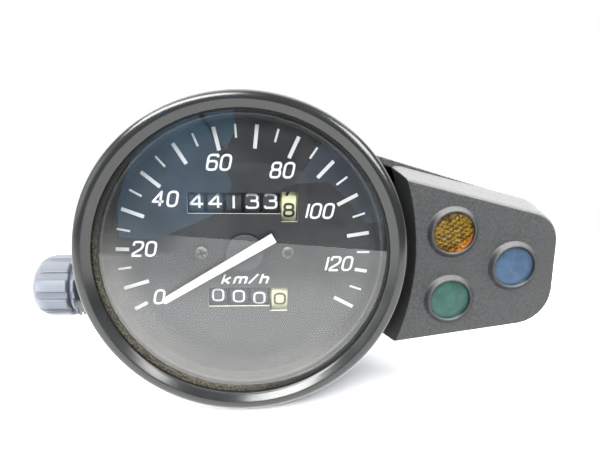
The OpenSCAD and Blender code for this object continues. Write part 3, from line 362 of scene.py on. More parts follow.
print("all finishes so far", len(bpy.data.materials))

# %% [markdown]
# ## The dial's face
# The dial is sprayed matt black and has a very fine grit. Its windows are punched, and the punch
# leaves a bare pale edge, which shows as a light line under each row of figures. A second finish
# on the edge's faces would do, but the edge is the only part of the plate that doesn't face the
# front, so the surface's own direction picks it out.

# %% Dial plate
def dial_finish():
    f = Finish("dial_black", ior=1.5)
    grit = f.grain(0.16, 3, 0.6)
    cloud = f.grain(11, 3)
    edge = 1 - abs(f.facing()[1]).step(0.3, 0.6)
    specks = f.grain(0.22, 2).step(0.69, 0.75) * 0.45
    shade = cloud.step(0.3, 0.7) * 0.6 + grit * 0.3
    tone = f.blend((0.0075, 0.0078, 0.0082), (0.013, 0.0133, 0.0138), shade)
    tone = f.blend(f.blend(tone, (0.3, 0.29, 0.26), specks), (0.7, 0.68, 0.55), edge)
    f.set(base_color=tone, roughness=0.33 + 0.08 * grit)
    return f.bump(grit, 0.0008)


dial_black = dial_finish()
print("dial finish", len(dial_black.nodes), "nodes")

# %% [markdown]
# ## Drawing figures
# The figures on such a dial are drawn with a pen of constant width: a centre line with rounded
# corners. A font object would bring its own shapes, so a glyph here is a few corner points, a
# corner radius rounds them, and a ribbon of the pen's width follows the line. Slanting the
# result gives the italic. Each line of a glyph says whether it is closed, its corner radius and
# its corners, in shares of the figure's height.

# %% Glyphs as centre lines
W = 0.62
GLYPHS = {
    "0": [(True, 0.3, [(0, 0), (W, 0), (W, 1), (0, 1)])],
    "1": [(False, 0.0, [(W * 0.62, 0), (W * 0.62, 1)])],
    "2": [(False, 0.24, [(0.0, 0.74), (0.0, 1), (W, 1), (W, 0.56), (0.0, 0.14), (0, 0)]),
          (False, 0.0, [(-0.05, 0), (W, 0)])],
    "3": [(False, 0.24, [(0.0, 0.86), (0.02, 1), (W - 0.04, 1), (W - 0.04, 0.54), (0.2, 0.54)]),
          (False, 0.24, [(0.2, 0.54), (W, 0.54), (W, 0), (0.0, 0), (-0.03, 0.16)])],
    "4": [(False, 0.03, [(W * 0.74, 0), (W * 0.74, 1), (-0.04, 0.3), (W + 0.06, 0.3)])],
    "5": [(False, 0.2, [(0.0, 0.14), (0.02, 0), (W, 0), (W, 0.6), (0.02, 0.6)]),
          (False, 0.0, [(0.02, 0.56), (0.06, 1), (W, 1)])],
    "6": [(True, 0.22, [(0, 0), (W, 0), (W, 0.58), (0, 0.58)]),
          (False, 0.26, [(0, 0.3), (0, 1), (W, 1), (W, 0.84)])],
    "7": [(False, 0.0, [(-0.02, 1), (W, 1), (W * 0.3, 0)])],
    "8": [(True, 0.22, [(0.03, 0.53), (W - 0.03, 0.53), (W - 0.03, 1), (0.03, 1)]),
          (True, 0.23, [(0, 0), (W, 0), (W, 0.53), (0, 0.53)])],
    "9": [(True, 0.22, [(0, 0.42), (W, 0.42), (W, 1), (0, 1)]),
          (False, 0.26, [(W, 0.7), (W, 0), (0, 0), (0, 0.16)])],
    "k": [(False, 0.0, [(0, 0), (0, 1)]), (False, 0.0, [(0.04, 0.26), (0.42, 0.68)]),
          (False, 0.0, [(0.16, 0.36), (0.44, 0.0)])],
    "m": [(False, 0.14, [(0, 0), (0, 0.68), (0.36, 0.68), (0.36, 0)]),
          (False, 0.14, [(0.36, 0.4), (0.36, 0.68), (0.72, 0.68), (0.72, 0)])],
    "/": [(False, 0.0, [(-0.06, 0), (0.34, 1)])],
    "h": [(False, 0.0, [(0, 0), (0, 1)]),
          (False, 0.16, [(0, 0.4), (0, 0.68), (0.42, 0.68), (0.42, 0)])],
}


def rounded(points, radius, closed, steps=6):
    """The polyline with each corner replaced by an arc that fits into it."""
    n, out = len(points), []
    for i, p in enumerate(points):
        if not closed and i in (0, n - 1) or radius == 0:
            out.append(Vector(p))
            continue
        a, b, c = Vector(points[i - 1]), Vector(p), Vector(points[(i + 1) % n])
        r = min(radius, (a - b).length / 2.001, (c - b).length / 2.001)
        start, end = b + (a - b).normalized() * r, b + (c - b).normalized() * r
        for k in range(steps + 1):
            t = k / steps
            out.append((1 - t) ** 2 * start + 2 * t * (1 - t) * b + t * t * end)
    return out


def ribbon(points, width, closed):
    """Left and right edges of a pen stroke along the points."""
    points = [p for i, p in enumerate(points)
              if (p - points[i - 1]).length > 1e-6 or (i == 0 and not closed)]
    n, edges = len(points), []
    for i, p in enumerate(points):
        d1 = (p - points[i - 1]).normalized() if closed or i else None
        d2 = (points[(i + 1) % n] - p).normalized() if closed or i < n - 1 else d1
        d1 = d1 or d2
        mid = (d1 + d2).normalized()
        side = Vector((-mid.y, mid.x))
        reach = width / 2 / max(0.45, side.dot(Vector((-d1.y, d1.x))))
        edges.append((p + side * reach, p - side * reach))
    return edges


def drawn(text, height, pen, slant=0.0, gap=0.3, wide=1.0):
    """Strokes of a line of text, centred on the origin; a stroke is a list of quads."""
    strokes, cursor = [], 0.0
    for sign in text:
        right = 0
        for closed, radius, corners in GLYPHS[sign]:
            course = rounded(corners, radius, closed)
            line = [Vector((x * height * wide + cursor, y * height)) for x, y in course]
            edges = ribbon(line, pen, closed)
            pairs = zip(edges, edges[1:] + edges[:1]) if closed else zip(edges, edges[1:])
            strokes.append([[b, d, c, a] for (a, b), (c, d) in pairs])
            right = max(right, *(x * wide for x, y in corners))
        cursor += (right + gap) * height
    spots = [p for stroke in strokes for quad in stroke for p in quad]
    mid_x = (min(p.x for p in spots) + max(p.x for p in spots)) / 2
    mid_y = height / 2
    return [[[Vector((p.x - mid_x + (p.y - mid_y) * slant, p.y - mid_y)) for p in quad]
             for quad in stroke] for stroke in strokes]


print("glyphs", len(GLYPHS))

# %% [markdown]
# ## Turning flat drawings into print
# Printing ink is a film a few hundredths of a millimetre thick. A flat quad just above the plate
# would flicker against it from far away, so each quad becomes a thin slab whose top stands proud.

# %% Mesh helpers
def piece(name, verts, faces, body, finish, smooth=False):
    """A new mesh object from points in dial millimetres, riding on a body."""
    mesh = bpy.data.meshes.new(name)
    mesh.from_pydata([at(*v) for v in verts], [], faces)
    mesh.validate()
    mesh.update()
    mesh.polygons.foreach_set("use_smooth", [smooth] * len(mesh.polygons))
    obj = bpy.data.objects.new(name, mesh)
    bpy.context.scene.collection.objects.link(obj)
    wear(obj, finish)
    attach(obj, body)
    return obj


def slabs(strokes, raise_to):
    """Closed thin boxes over flat quads; raise_to(x, y, h) puts a point h mm over the surface.
    Neighbouring strokes get tops of different height, so that no two faces share a plane."""
    verts, faces = [], []
    for count, stroke in enumerate(strokes):
        top = 0.03 + 0.01 * (count % 3)
        for quad in stroke:
            n = len(verts)
            verts += [raise_to(p.x, p.y, top) for p in quad] + [raise_to(p.x, p.y, -0.03) for p in quad]
            faces += [[n, n + 1, n + 2, n + 3], [n + 7, n + 6, n + 5, n + 4]]
            faces += [[n + i, n + 4 + i, n + 4 + (i + 1) % 4, n + (i + 1) % 4] for i in range(4)]
    return verts, faces


def ink(name, shade, age):
    f = Finish(name, ior=1.45)
    worn = f.grain(0.5, 4, 0.7).step(0.5, 0.8)
    f.set(base_color=f.blend(shade, age, worn * 0.5), roughness=0.5 + 0.15 * worn)
    return f.bump(worn, 0.006)


white_ink = ink("white_ink", (0.76, 0.76, 0.76), (0.62, 0.62, 0.61))
scale_ink = ink("scale_ink", (0.6, 0.6, 0.6), (0.5, 0.5, 0.49))
wheel_white = ink("wheel_white", (0.66, 0.68, 0.72), (0.48, 0.5, 0.54))
wheel_dark = ink("wheel_dark", (0.012, 0.012, 0.012), (0.05, 0.05, 0.04))
print("inks", [f.material.name for f in (white_ink, scale_ink, wheel_white, wheel_dark)])

# %% [markdown]
# ## The scale
# The scale starts with one wide step from 0 to 10, because the needle isn't true near rest. After
# that, every 5 km/h takes the same angle. The tens have thick lines of one length, apart from
# four near the start and beside a figure, and the fives have short thin ones. A loop over the
# speeds keeps them even.

# %% Scale, figures and unit
ZERO_AT, TEN_AT, FIVE_STEP = 208.0, 197.0, 9.375  # degrees
SCALE_R, TEN_R, FIVE_R = 31.5, 25.9, 28.3  # outer ends of the lines, and their inner ends
TEN_PEN, FIVE_PEN = 0.9, 0.5
OTHER_R = {0: 27.9, 10: 25.1, 20: 28.3, 120: 28.3}
FIGURES = {"0": (-21.6, -11.6), "20": (-24.6, 1.0), "40": (-19.0, 13.5), "60": (-6.0, 22.4),
           "80": (9.1, 20.7), "100": (18.6, 10.7), "120": (23.9, -3.0)}
UNIT_PLACE = (0.1, -6.95)


def angle_of(speed):
    return ZERO_AT if speed == 0 else TEN_AT - FIVE_STEP * (speed - 10) / 5


def tick(speed, inner, width):
    a = math.radians(angle_of(speed))
    along, side = Vector((math.cos(a), math.sin(a))), Vector((-math.sin(a), math.cos(a)))
    half = side * width / 2
    return [along * inner - half, along * SCALE_R - half, along * SCALE_R + half, along * inner + half]


def moved(strokes, place):
    return [[[p + Vector(place) for p in quad] for quad in stroke] for stroke in strokes]


marks = [[tick(s, OTHER_R.get(s, TEN_R), TEN_PEN)] for s in range(0, 131, 10)]
marks += [[tick(s, FIVE_R, FIVE_PEN)] for s in range(15, 130, 10)]
figures = []
for figure, place in FIGURES.items():
    figures += moved(drawn(figure, 3.5, 0.54, 0.2, 0.28), place)
figures += moved(drawn("km/h", 2.45, 0.52, 0.34, 0.5, 1.6), UNIT_PLACE)
for name, strokes, finish in (("dial_scale", marks, scale_ink), ("dial_figures", figures, white_ink)):
    verts, faces = slabs(strokes, lambda x, y, h: (x, y, DIAL_Z + h))
    piece(name, verts, faces, "instrument", finish)
    print(name, len(faces), "faces in", len(strokes), "strokes")

# %% [markdown]
# ## Crosses on the screws
# The two screws beside the pointer have a cross in the head. A dark cross is drawn on each head
# as the painted shade of the recess, a little wider than the cut in the model. It uses the same
# slabs as the print, and each cross is turned as its screw happens to stand.

# %% Crosses on the screws
SCREW_X, SCREW_TOP = 10.7, 0.9
SCREW_TURNS = {-SCREW_X: 0.3, SCREW_X: 0.9}
BAR = [(-1.15, -0.26), (1.15, -0.26), (1.15, 0.26), (-1.15, 0.26)]
crosses = []
for middle, turn in SCREW_TURNS.items():
    for u, v in ((math.cos(turn), math.sin(turn)), (-math.sin(turn), math.cos(turn))):
        crosses.append([[Vector((middle + x * u - y * v, x * v + y * u)) for x, y in BAR]])
# Dark crosses as the painted shade in the recesses
verts, faces = slabs(crosses, lambda x, y, h: (x, y, DIAL_Z + SCREW_TOP + h))
piece("screw_crosses", verts, faces, "instrument", wheel_black)
print("screw crosses", len(faces), "faces")

# %% [markdown]
# ## Figures on the number wheels
# Each wheel carries 0 to 9 round its rim. On a counter that counts up, the rim's front moves up,
# so the next figure stands below. A flat drawing is wrapped round the drum: its height becomes an
# angle. The wheels rest where the photograph shows them, with the last one between two figures.

# %% Number wheels
def wheel_figures(name, body, x, axis_y, shown, offset, height, pen, wide, finish, slot):
    """Ten figures round one wheel; shown stands offset degrees above the front."""
    verts, faces = [], []
    for digit in range(10):
        centre = math.radians(offset + 36 * ((shown - digit + 5) % 10 - 5))

        def wrap(u, v, h, centre=centre):
            r, a = WHEEL_R + h, centre + v / WHEEL_R
            return x + u, axis_y + r * math.sin(a), WHEEL_Z + r * math.cos(a)

        # Long strokes are cut so that they bend with the drum
        bent = []
        for stroke in drawn(str(digit), height, pen, wide=wide):
            cut = []
            for a, b, c, d in stroke:
                steps = max(1, int(abs(b.y - a.y) / 0.35), int(abs(c.y - d.y) / 0.35))
                for k in range(steps):
                    s, t = k / steps, (k + 1) / steps
                    cut.append([a.lerp(b, s), a.lerp(b, t), d.lerp(c, t), d.lerp(c, s)])
            bent.append(cut)
        v, f = slabs(bent, wrap)
        faces += [[i + len(verts) for i in face] for face in f]
        verts += v
    piece(name, verts, faces, body, finish)


# Middle of the last wheel, pitch, axis, height, pen and width of the figures, the same two of the
# last wheel's, and for each wheel the figure shown and how far above the front it stands
COUNTERS = {
    "odometer": (10.85, 4.55, ODO_Y, 3.3, (0.56, 1.32), (0.65, 1.15),
                 [(4, 1.2), (4, 1.4), (1, 0.6), (3, 1.6), (3, 1.8), (8, -13.8)]),
    "trip": (8.8, 5.3, TRIP_Y, 3.05, (0.5, 1.4), (0.5, 1.4), [(0, 0.2), (0, -2.7), (0, -6.2), (0, -8.3)]),
}
for counter, (last_x, pitch, axis_y, height, usual, final, wheels) in COUNTERS.items():
    for i, (shown, offset) in enumerate(wheels):
        last = i == len(wheels) - 1
        x = last_x - (len(wheels) - 1 - i) * pitch
        wheel_figures(f"{counter}_figures_{i + 1}", f"{counter}_{i + 1}", x, axis_y,
                      shown, offset, height, *(final if last else usual),
                      wheel_dark if last else wheel_white, "wheel_cream" if last else "wheel_black")
    print(counter, "wheels with figures", len(wheels))

# %% [markdown]
# ## The bezel
# The bezel is one ring of sheet steel, spun over the glass and curled under the case's flange. Its
# section is a closed outline turned round the pointer's axis. A spun ring is nearly true, and the
# small waves left by the roller are what makes its long highlight look like metal.

# %% Turned pieces
def turned(name, outline, body, finish, steps=256, waves=None):
    """A closed outline of (radius, height) points turned round the pointer's axis."""
    n, verts, faces = len(outline), [], []
    for s in range(steps):
        a = 2 * math.pi * s / steps
        for k, (r, z) in enumerate(outline):
            dr, dz = waves(a, k, r, z) if waves else (0, 0)
            verts.append(((r + dr) * math.cos(a), (r + dr) * math.sin(a), z + dz))
        t = (s + 1) % steps
        faces += [[s * n + k, t * n + k, t * n + (k + 1) % n, s * n + (k + 1) % n] for k in range(n)]
    return piece(name, verts, faces, body, finish, smooth=True)


def bow(cx, cy, rx, ry, a0, a1, n):
    """Points on a quarter or other part of an ellipse."""
    turns = [math.radians(a0 + (a1 - a0) * i / n) for i in range(n + 1)]
    return [(cx + rx * math.cos(a), cy + ry * math.sin(a)) for a in turns]


bezel_outline = (bow(36.9, 54.9, 2.3, 1.1, 0, 86, 18)
                 + [(36.97, 55.985), (36.88, 55.96), (36.78, 55.9), (36.6, 55.77)]
                 + [(36.2, 55.48), (35.8, 55.18), (35.45, 54.93), (35.32, 54.83)]
                 + bow(35.35, 54.52, 0.25, 0.25, 110, 180, 5)
                 + [(35.1, 53.7), (35.2, 53.62), (35.6, 53.64), (36.9, 55.0), (38.4, 54.7), (38.4, 49.7)]
                 + [(38.35, 49.64), (37.45, 49.64), (37.4, 49.58), (37.42, 48.88)]
                 + bow(38.4, 49.66, 0.8, 0.8, -88, 0, 6) + [(39.2, 51.5), (39.2, 53.4)])


def roller(a, k, r, z):
    """Small waves, which only go inwards at the rim and downwards at the top."""
    small = noise.noise(Vector((math.cos(a) * 3, math.sin(a) * 3, z * 0.2))) * 0.02
    return min(0.0, small) if r > 39.1 else small, min(0.0, small) if z > 55.7 else 0.6 * small


bezel = turned("bezel_ring", bezel_outline, "instrument", bezel_paint, 320, roller)
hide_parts("bezel")
print("bezel", len(bezel_outline), "points in the section,", len(bezel.data.polygons), "faces")

# %% [markdown]
# ## The perished gasket
# The rubber under the lip has gone brown and crumbles towards the glass, mostly on the left and
# below. A sculpted edge would take hours, but the same turned outline works, with noise that eats
# into its inner edge.

# %% Gasket
def gasket_finish():
    f = Finish("perished_rubber", ior=1.4)
    crust, fine = f.grain(0.36, 5, 0.75), f.grain(0.24, 4, 0.7)
    x, _, z = f.place()
    # Brown rubber towards the lower left; towards the upper right near black, for black rubber and the
    # painted shade in the gap under the lip
    side = (f.grain(9, 3) * 0.3 - 0.15 - (x + z) * 0.0202).step(0.3, 0.85)
    brown = f.blend((0.03, 0.027, 0.018), (0.15, 0.138, 0.084), crust.step(0.44, 0.66))
    brown = f.blend(brown, (0.42, 0.39, 0.25), fine.step(0.56, 0.64) * 0.8)
    brown = f.blend(brown, (0.012, 0.011, 0.01), f.grain(0.42, 3).step(0.5, 0.57) * 0.9)
    f.set(base_color=f.blend((0.012, 0.0115, 0.011), brown, side), roughness=0.75)
    return f.bump(crust + fine, 0.2)


def crumble(a, k, r, z):
    """Eats into the lip: widest at the left and below, nearly gone at the top and right."""
    if r > 35.2 or z < 53:
        return 0, 0
    bite = noise.fractal(Vector((math.cos(a) * 22, math.sin(a) * 22, k * 1.7)), 0.8, 2.0, 4)
    left = max(0.0, math.cos(a - math.radians(215)))
    gone = 0.75 * (1 - min(1.0, 2.2 * left)) * min(1.0, (35.1 - min(r, 35.1)) / 1.1)
    return gone + bite * 0.08, bite * 0.02 if z < 53.4 else -abs(bite) * 0.04


gasket_outline = [(33.95, 53.14), (33.9, 53.3), (34.0, 53.48), (34.3, 53.58), (35.0, 53.6), (37.3, 53.6),
                  (37.48, 53.4), (37.48, 50.7), (37.4, 50.62), (35.3, 50.62), (35.25, 51.05), (36.78, 51.08),
                  (36.82, 53.1), (35.0, 53.12)]
gasket = turned("gasket_ring", gasket_outline, "instrument", gasket_finish(), 480, crumble)
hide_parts("glass_gasket")
print("gasket", len(gasket.data.polygons), "faces")

# %% [markdown]
# ## Softer moulded edges
# An edge on a moulding is never sharp: the tool's radius and polishing round it. Instead of a
# bevel on every edge, the solid is filled with small voxels and relaxed, which rounds all edges
# and fills all corners by about the same small radius, also where three of them meet.

# %% Rounding a solid
def softened(name, node, voxel, passes, body, finish):
    """A copy of a CAD solid with small round edges, which then stands for it."""
    obj = bpy.data.objects.new(name, nodes[node].data.copy())
    bpy.context.scene.collection.objects.link(obj)
    remesh = obj.modifiers.new("voxels", "REMESH")
    remesh.mode, remesh.voxel_size, remesh.adaptivity = "VOXEL", voxel * MM, 0
    relax = obj.modifiers.new("relax", "SMOOTH")
    relax.factor, relax.iterations = 0.5, passes
    bpy.context.view_layer.update()
    mesh = bpy.data.meshes.new_from_object(obj.evaluated_get(bpy.context.evaluated_depsgraph_get()))
    obj.modifiers.clear()
    obj.data = mesh
    mesh.polygons.foreach_set("use_smooth", [True] * len(mesh.polygons))
    mesh.materials.clear()
    wear(obj, finish)
    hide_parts(node)
    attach(obj, body)
    print(name, len(mesh.polygons), "faces")
    return obj


lamp_front = softened("lamp_front_shell", "lamp_housing", 0.25, 2, "instrument",
                      front_plastic)
softened("lamp_back_shell", "lamp_back_cover", 0.32, 3, "instrument", back_plastic)

# %% [markdown]
# ## Lens collars
# The raised collars have a straight slanted flank, which the rounding has washed out. The points
# of the softened front that stand over the face near a lens are lifted to that flank again. A
# separate ring would leave a seam that the moulding doesn't have.

# %% Collars on the lamp front
LENSES = {"amber": (51.6, 6.1), "blue": (68.2, -2.8), "green": (52.2, -11.7)}
COLLAR_NEAR, COLLAR_FAR = 5.3, 8.6  # radii between which the face is formed again


def slanted(obj, top, foot, rise):
    """Puts a collar of that rise round every lens, from radius top down to radius foot."""
    count = 0
    for v in obj.data.vertices:
        x, y, out = v.co.x / MM, v.co.z / MM, -v.co.y / MM
        if out < FACE_Z - 0.12:
            continue
        r = min(math.hypot(x - cx, y - cy) for cx, cy in LENSES.values())
        if COLLAR_NEAR < r < COLLAR_FAR:
            t = min(1.0, max(0.0, (foot - r) / (foot - top)))
            v.co.y = -(FACE_Z + rise * (0.7 * t + 0.3 * t * t * (3 - 2 * t))) * MM
            count += 1
    obj.data.update()
    print("points put on the collars", count)


slanted(lamp_front, 5.6, 6.6, 1.25)

# %% [markdown]
# ## Reset knob
# The knob is a lobed moulding, and it gets the same rounding as the lamp shells. Its top is
# painted darker as painted shade, and its grooves are painted dark as the shade in them. A groove is simply
# what lies nearer to the knob's axis, so the finish measures that radius and needs no painted mask.

# %% Reset knob
def knob_finish():
    f = Finish("knob_grey", ior=1.35)
    haze = f.grain(4, 4, 0.6)
    _, y, z = f.place()
    radius = ((y + WHEEL_Z) ** 2 + (z - TRIP_Y) ** 2) ** 0.5
    groove = 1 - radius.step(6.9, 7.7)
    tone = f.blend((0.24, 0.26, 0.295), (0.19, 0.21, 0.245), haze)
    # The grooves are painted dark as the shade in them
    tone = f.blend(tone, (0.09, 0.085, 0.13), groove * 0.7)
    up = f.facing()[2]
    # The top is painted darker as painted shade
    tone = f.blend(tone, (0.1, 0.105, 0.115), up.step(0.15, 0.8) * 0.85)
    f.set(base_color=tone, roughness=0.3 + 0.14 * haze)
    return f.bump(f.grain(0.6, 3), 0.02)


softened("knob_cap", "reset_knob", 0.16, 6, "reset", knob_finish())

# %% [markdown]
# ## Lenses
# Behind a warning lens the bulb's light is spread by rows of small pyramids moulded into it. The
# amber lens still shows them as bright and dark facets, while the blue and green ones look nearly
# smooth and milky. Each lens is a disc whose height comes from one formula, with deep pyramids on
# the amber one and hardly any on the others. A relief map alone would not give facets that catch
# the light one by one.

# %% Lens discs
LENS_R, LENS_TOP, LENS_BACK = 5.15, FACE_Z + 0.35, 48.0


def milky_finish(name, deep, light):
    f = Finish(name, ior=1.36)
    haze = f.grain(2.5, 4, 0.6)
    specks = f.grain(0.25, 2).step(0.68, 0.76) * 0.15
    tone = f.blend(f.blend(deep, light, haze.step(0.35, 0.65)), (0.6, 0.62, 0.6), specks + 0.03 * haze)
    return f.set(base_color=tone, roughness=0.34 + 0.1 * haze)


def amber_finish():
    """Facets that face up and left get painted yellow highlights, the others stay brown, with dark spots and
    painted orange light at the lower right foot.
    """
    f = Finish("amber_plastic", ior=1.3, roughness=0.22, specular_ior_level=0.3)
    nx, _, nz = f.facing()
    # Painted highlight: facets that face up and to the left are painted yellow
    facet_highlight = (nz * 0.6 - nx * 0.4 + f.grain(1.3, 3, 0.7) * 3 - 1.5).step(-0.3, 0.45)
    tone = f.blend((0.045, 0.018, 0.0015), (0.18, 0.115, 0.008), facet_highlight)
    x, _, z = f.place()
    cx, cy = LENSES["amber"]
    # Painted orange light at the lower right of the lens
    low = ((x - cx) * 0.6 - (z - cy) * 0.8).step(3.0, 4.6)
    tone = f.blend(tone, (0.7, 0.2, 0.01), low * 0.5)
    tone = f.blend(tone, (0.03, 0.014, 0.004), f.grain(0.8, 3, 0.6).step(0.55, 0.66) * 0.75)
    return f.set(base_color=tone)


def lens(colour, pitch, relief, finish, rings=52, steps=180):
    """A disc with a crowned face and rows of small pyramids on it."""
    cx, cy = LENSES[colour]

    def height(x, y):
        wave = 0.5 * noise.noise(Vector((x * 0.7, y * 0.7, 3.1)))
        u, v = (0.95 * x - 0.3 * y) / pitch + wave, (0.3 * x + 0.95 * y) / (0.68 * pitch) + wave
        u += 0.5 * (math.floor(v) % 2)
        spire = 1 - 2 * max(abs(u - math.floor(u) - 0.5), abs(v - math.floor(v) - 0.5))
        edge = min(1.0, (LENS_R - math.hypot(x, y)) / 0.5)
        return LENS_TOP + 0.35 * (1 - (x * x + y * y) / 27) + relief * (spire - 0.5) * edge

    turns = [2 * math.pi * s / steps for s in range(steps)]
    verts = [(cx, cy, height(0, 0))]
    for r in range(1, rings + 1):
        for a in turns:
            x, y = LENS_R * r / rings * math.cos(a), LENS_R * r / rings * math.sin(a)
            verts.append((cx + x, cy + y, height(x, y)))
    faces = [[0, 1 + s, 1 + (s + 1) % steps] for s in range(steps)]
    for r in range(rings - 1):
        for s in range(steps):
            a, b = 1 + r * steps + s, 1 + r * steps + (s + 1) % steps
            faces.append([a, a + steps, b + steps, b])
    rim = 1 + (rings - 1) * steps
    base = len(verts)
    verts += [(cx + LENS_R * math.cos(a), cy + LENS_R * math.sin(a), LENS_BACK) for a in turns]
    faces += [[rim + s, base + s, base + (s + 1) % steps, rim + (s + 1) % steps] for s in range(steps)]
    faces.append([base + s for s in reversed(range(steps))])
    obj = piece(f"{colour}_prisms", verts, faces, "instrument", finish, smooth=relief < 0.1)
    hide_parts(f"{colour}_lens")
    print(obj.name, len(faces), "faces")


lens("amber", 1.5, 0.3, amber_finish())
lens("blue", 1.0, 0.02, milky_finish("blue_plastic", (0.022, 0.054, 0.108), (0.03, 0.074, 0.135)))
lens("green", 1.0, 0.02, milky_finish("green_plastic", (0.009, 0.054, 0.038), (0.013, 0.074, 0.055)))

# %% [markdown]
# ## Glass
# The window is a flat disc, and what makes it visible is its reflection: the pale table in its
# lower half and a dark room in the upper. A clear sheet either lets light through or mirrors it,
# by the angle, so the shader mixes those two, and a thin film of dust goes over both, thickest
# along the lower left of the rim. A refracting shader would keep most of the slanting light from
# the dial, so light passes straight through here. The outer face mirrors for both faces together,
# with a higher index.

# %% Window glass
def glass_finish():
    f = Finish("window_glass", base_color=(0.42, 0.41, 0.38), roughness=0.7)
    clear = f.add("ShaderNodeBsdfTransparent", {}, {"Color": (0.985, 0.99, 0.99)}, out="BSDF")
    mirror = f.add("ShaderNodeBsdfGlossy", {}, {"Color": (1, 1, 1), "Roughness": 0.015}, out="BSDF")
    inside = f.add("ShaderNodeNewGeometry", out="Backfacing")
    angle = f.add("ShaderNodeFresnel", {}, {"IOR": 1.6}, out="Fac") * (1 - inside)
    film = f.grain(6, 5, 0.65).step(0.35, 0.8) * 0.02 + f.grain(0.3, 3, 0.6).step(0.66, 0.74) * 0.1
    x, _, z = f.place()
    rim = ((x ** 2 + z ** 2) ** 0.5).step(24, 33.5) * (0 - 0.5 * x - z).step(0, 26)
    film = film + rim * (0.05 + 0.22 * f.grain(3, 3, 0.6))
    return f.surface(f.mix(film, f.mix(angle, clear, mirror), f.own_skin()))


window_glass = glass_finish()
print("glass", len(window_glass.nodes), "nodes")

# %% [markdown]
# ## The pieces that stay as the CAD has them
# Most of the mechanism needs no new shape, only its finish. A table of names keeps the choice of
# material in one place, and what is left over is printed, so that no piece is forgotten.

# %% Finishes for the CAD nodes that stay
pointer_white = ink("pointer_paint", (0.7, 0.7, 0.68), (0.58, 0.57, 0.54))
surround_black = moulded("surround_black", (0.014, 0.014, 0.015), 0.5, 0.5)
hub_black = moulded("hub_black", (0.03, 0.031, 0.033), 0.45, 0.1)
dark_screw = metal("dull_screw", (0.15, 0.15, 0.125), 0.45)
WORN_BY = {
    case_paint: "case", stay_paint: "stay", window_glass: "glass", dial_black: "dial_plate",
    surround_black: "dial_surround", dark_screw: "dial_screws", pointer_white: "pointer",
    hub_black: "pointer_hub", cup_metal: "speed_cup", steel: "field_ring", magnet_metal: "magnet",
    turned_steel: "pointer_spindle drive_spindle odometer_shaft pinion_shafts trip_shaft",
    brass: "hairspring hairspring_regulator spindle_bush",
    casting: "drive_housing movement_frame",
    zinc: "movement_screws stay_fasteners lamp_screws",
    acetal: "cross_shaft riser_shaft trip_idler_gear trip_drive_gear",
    rubber: "reset_seal dial_lamp_sockets stay_dampers lamp_sockets",
    bulb_glass: "dial_lamp_bulbs lamp_bulbs",
}
kept = {name: finish for finish, names in WORN_BY.items() for name in names.split()}
kept |= {f"odometer_pinion_{i}": acetal for i in range(1, 6)}
kept |= {f"trip_pinion_{i}": acetal for i in range(1, 4)}
kept |= {f"odometer_wheel_{i}": wheel_cream if i == 6 else wheel_black for i in range(1, 7)}
kept |= {f"trip_wheel_{i}": wheel_cream if i == 4 else wheel_black for i in range(1, 5)}
for name, finish in kept.items():
    wear(nodes[name], finish)
print("nodes with finishes", len(kept), "replaced nodes", sorted(set(nodes) - set(kept)))

# %% [markdown]
# ## Crumbs behind the glass
# Bits of the gasket have fallen on the lower part of the dial's surround. They are tiny lumps of
# random shape, from one fixed seed so that they fall in the same places every time. Particles
# would do for thousands, but 150 lumps are simply one mesh.

# %% Crumbs
CRUMBS_FROM, CRUMBS_TO = 32.9, 34.0  # radii of the surround on which they lie


def crumbs(count, seed):
    dice = random.Random(seed)
    verts, faces = [], []
    for _ in range(count):
        a = math.radians(dice.gauss(262, 26))
        r = dice.uniform(CRUMBS_FROM, CRUMBS_TO)
        size = dice.uniform(0.05, 0.16) * (1.5 if dice.random() < 0.12 else 1)
        cx, cy, cz = r * math.cos(a), r * math.sin(a), DIAL_Z + 0.1 + (r - CRUMBS_FROM) * 2.0
        n = len(verts)
        for dx, dy, dz in ((1, 0, 0), (-1, 0, 0), (0, 1, 0), (0, -1, 0), (0, 0, 1), (0, 0, -1)):
            s = size * dice.uniform(0.6, 1.2)
            verts.append((cx + dx * s, cy + dy * s, cz + dz * s))
        faces += [[n + i for i in f] for f in ((0, 2, 4), (2, 1, 4), (1, 3, 4), (3, 0, 4),
                                               (2, 0, 5), (1, 2, 5), (3, 1, 5), (0, 3, 5))]
    piece("gasket_crumbs", verts, faces, "instrument",
          moulded("crumb_brown", (0.2, 0.16, 0.1), 0.8, 0.3))
    print("crumbs", count)


crumbs(150, 7)

# %% [markdown]
# ## Table and light
# The photograph was taken on a white table under a broad soft light from above, and it is
# exposed for the dial, so the table burns out to white. The floor is therefore lit well over
# white, keeps only the object's soft shadow, and turns to plain white further away. Seen in the
# glass, the table has a painted shadow that grows darker towards its front edge.

# %% Floor
def flat(name, corners, finish):
    mesh = bpy.data.meshes.new(name)
    mesh.from_pydata(corners, [], [list(range(len(corners)))])
    obj = bpy.data.objects.new(name, mesh)
    bpy.context.scene.collection.objects.link(obj)
    wear(obj, finish)
    return obj


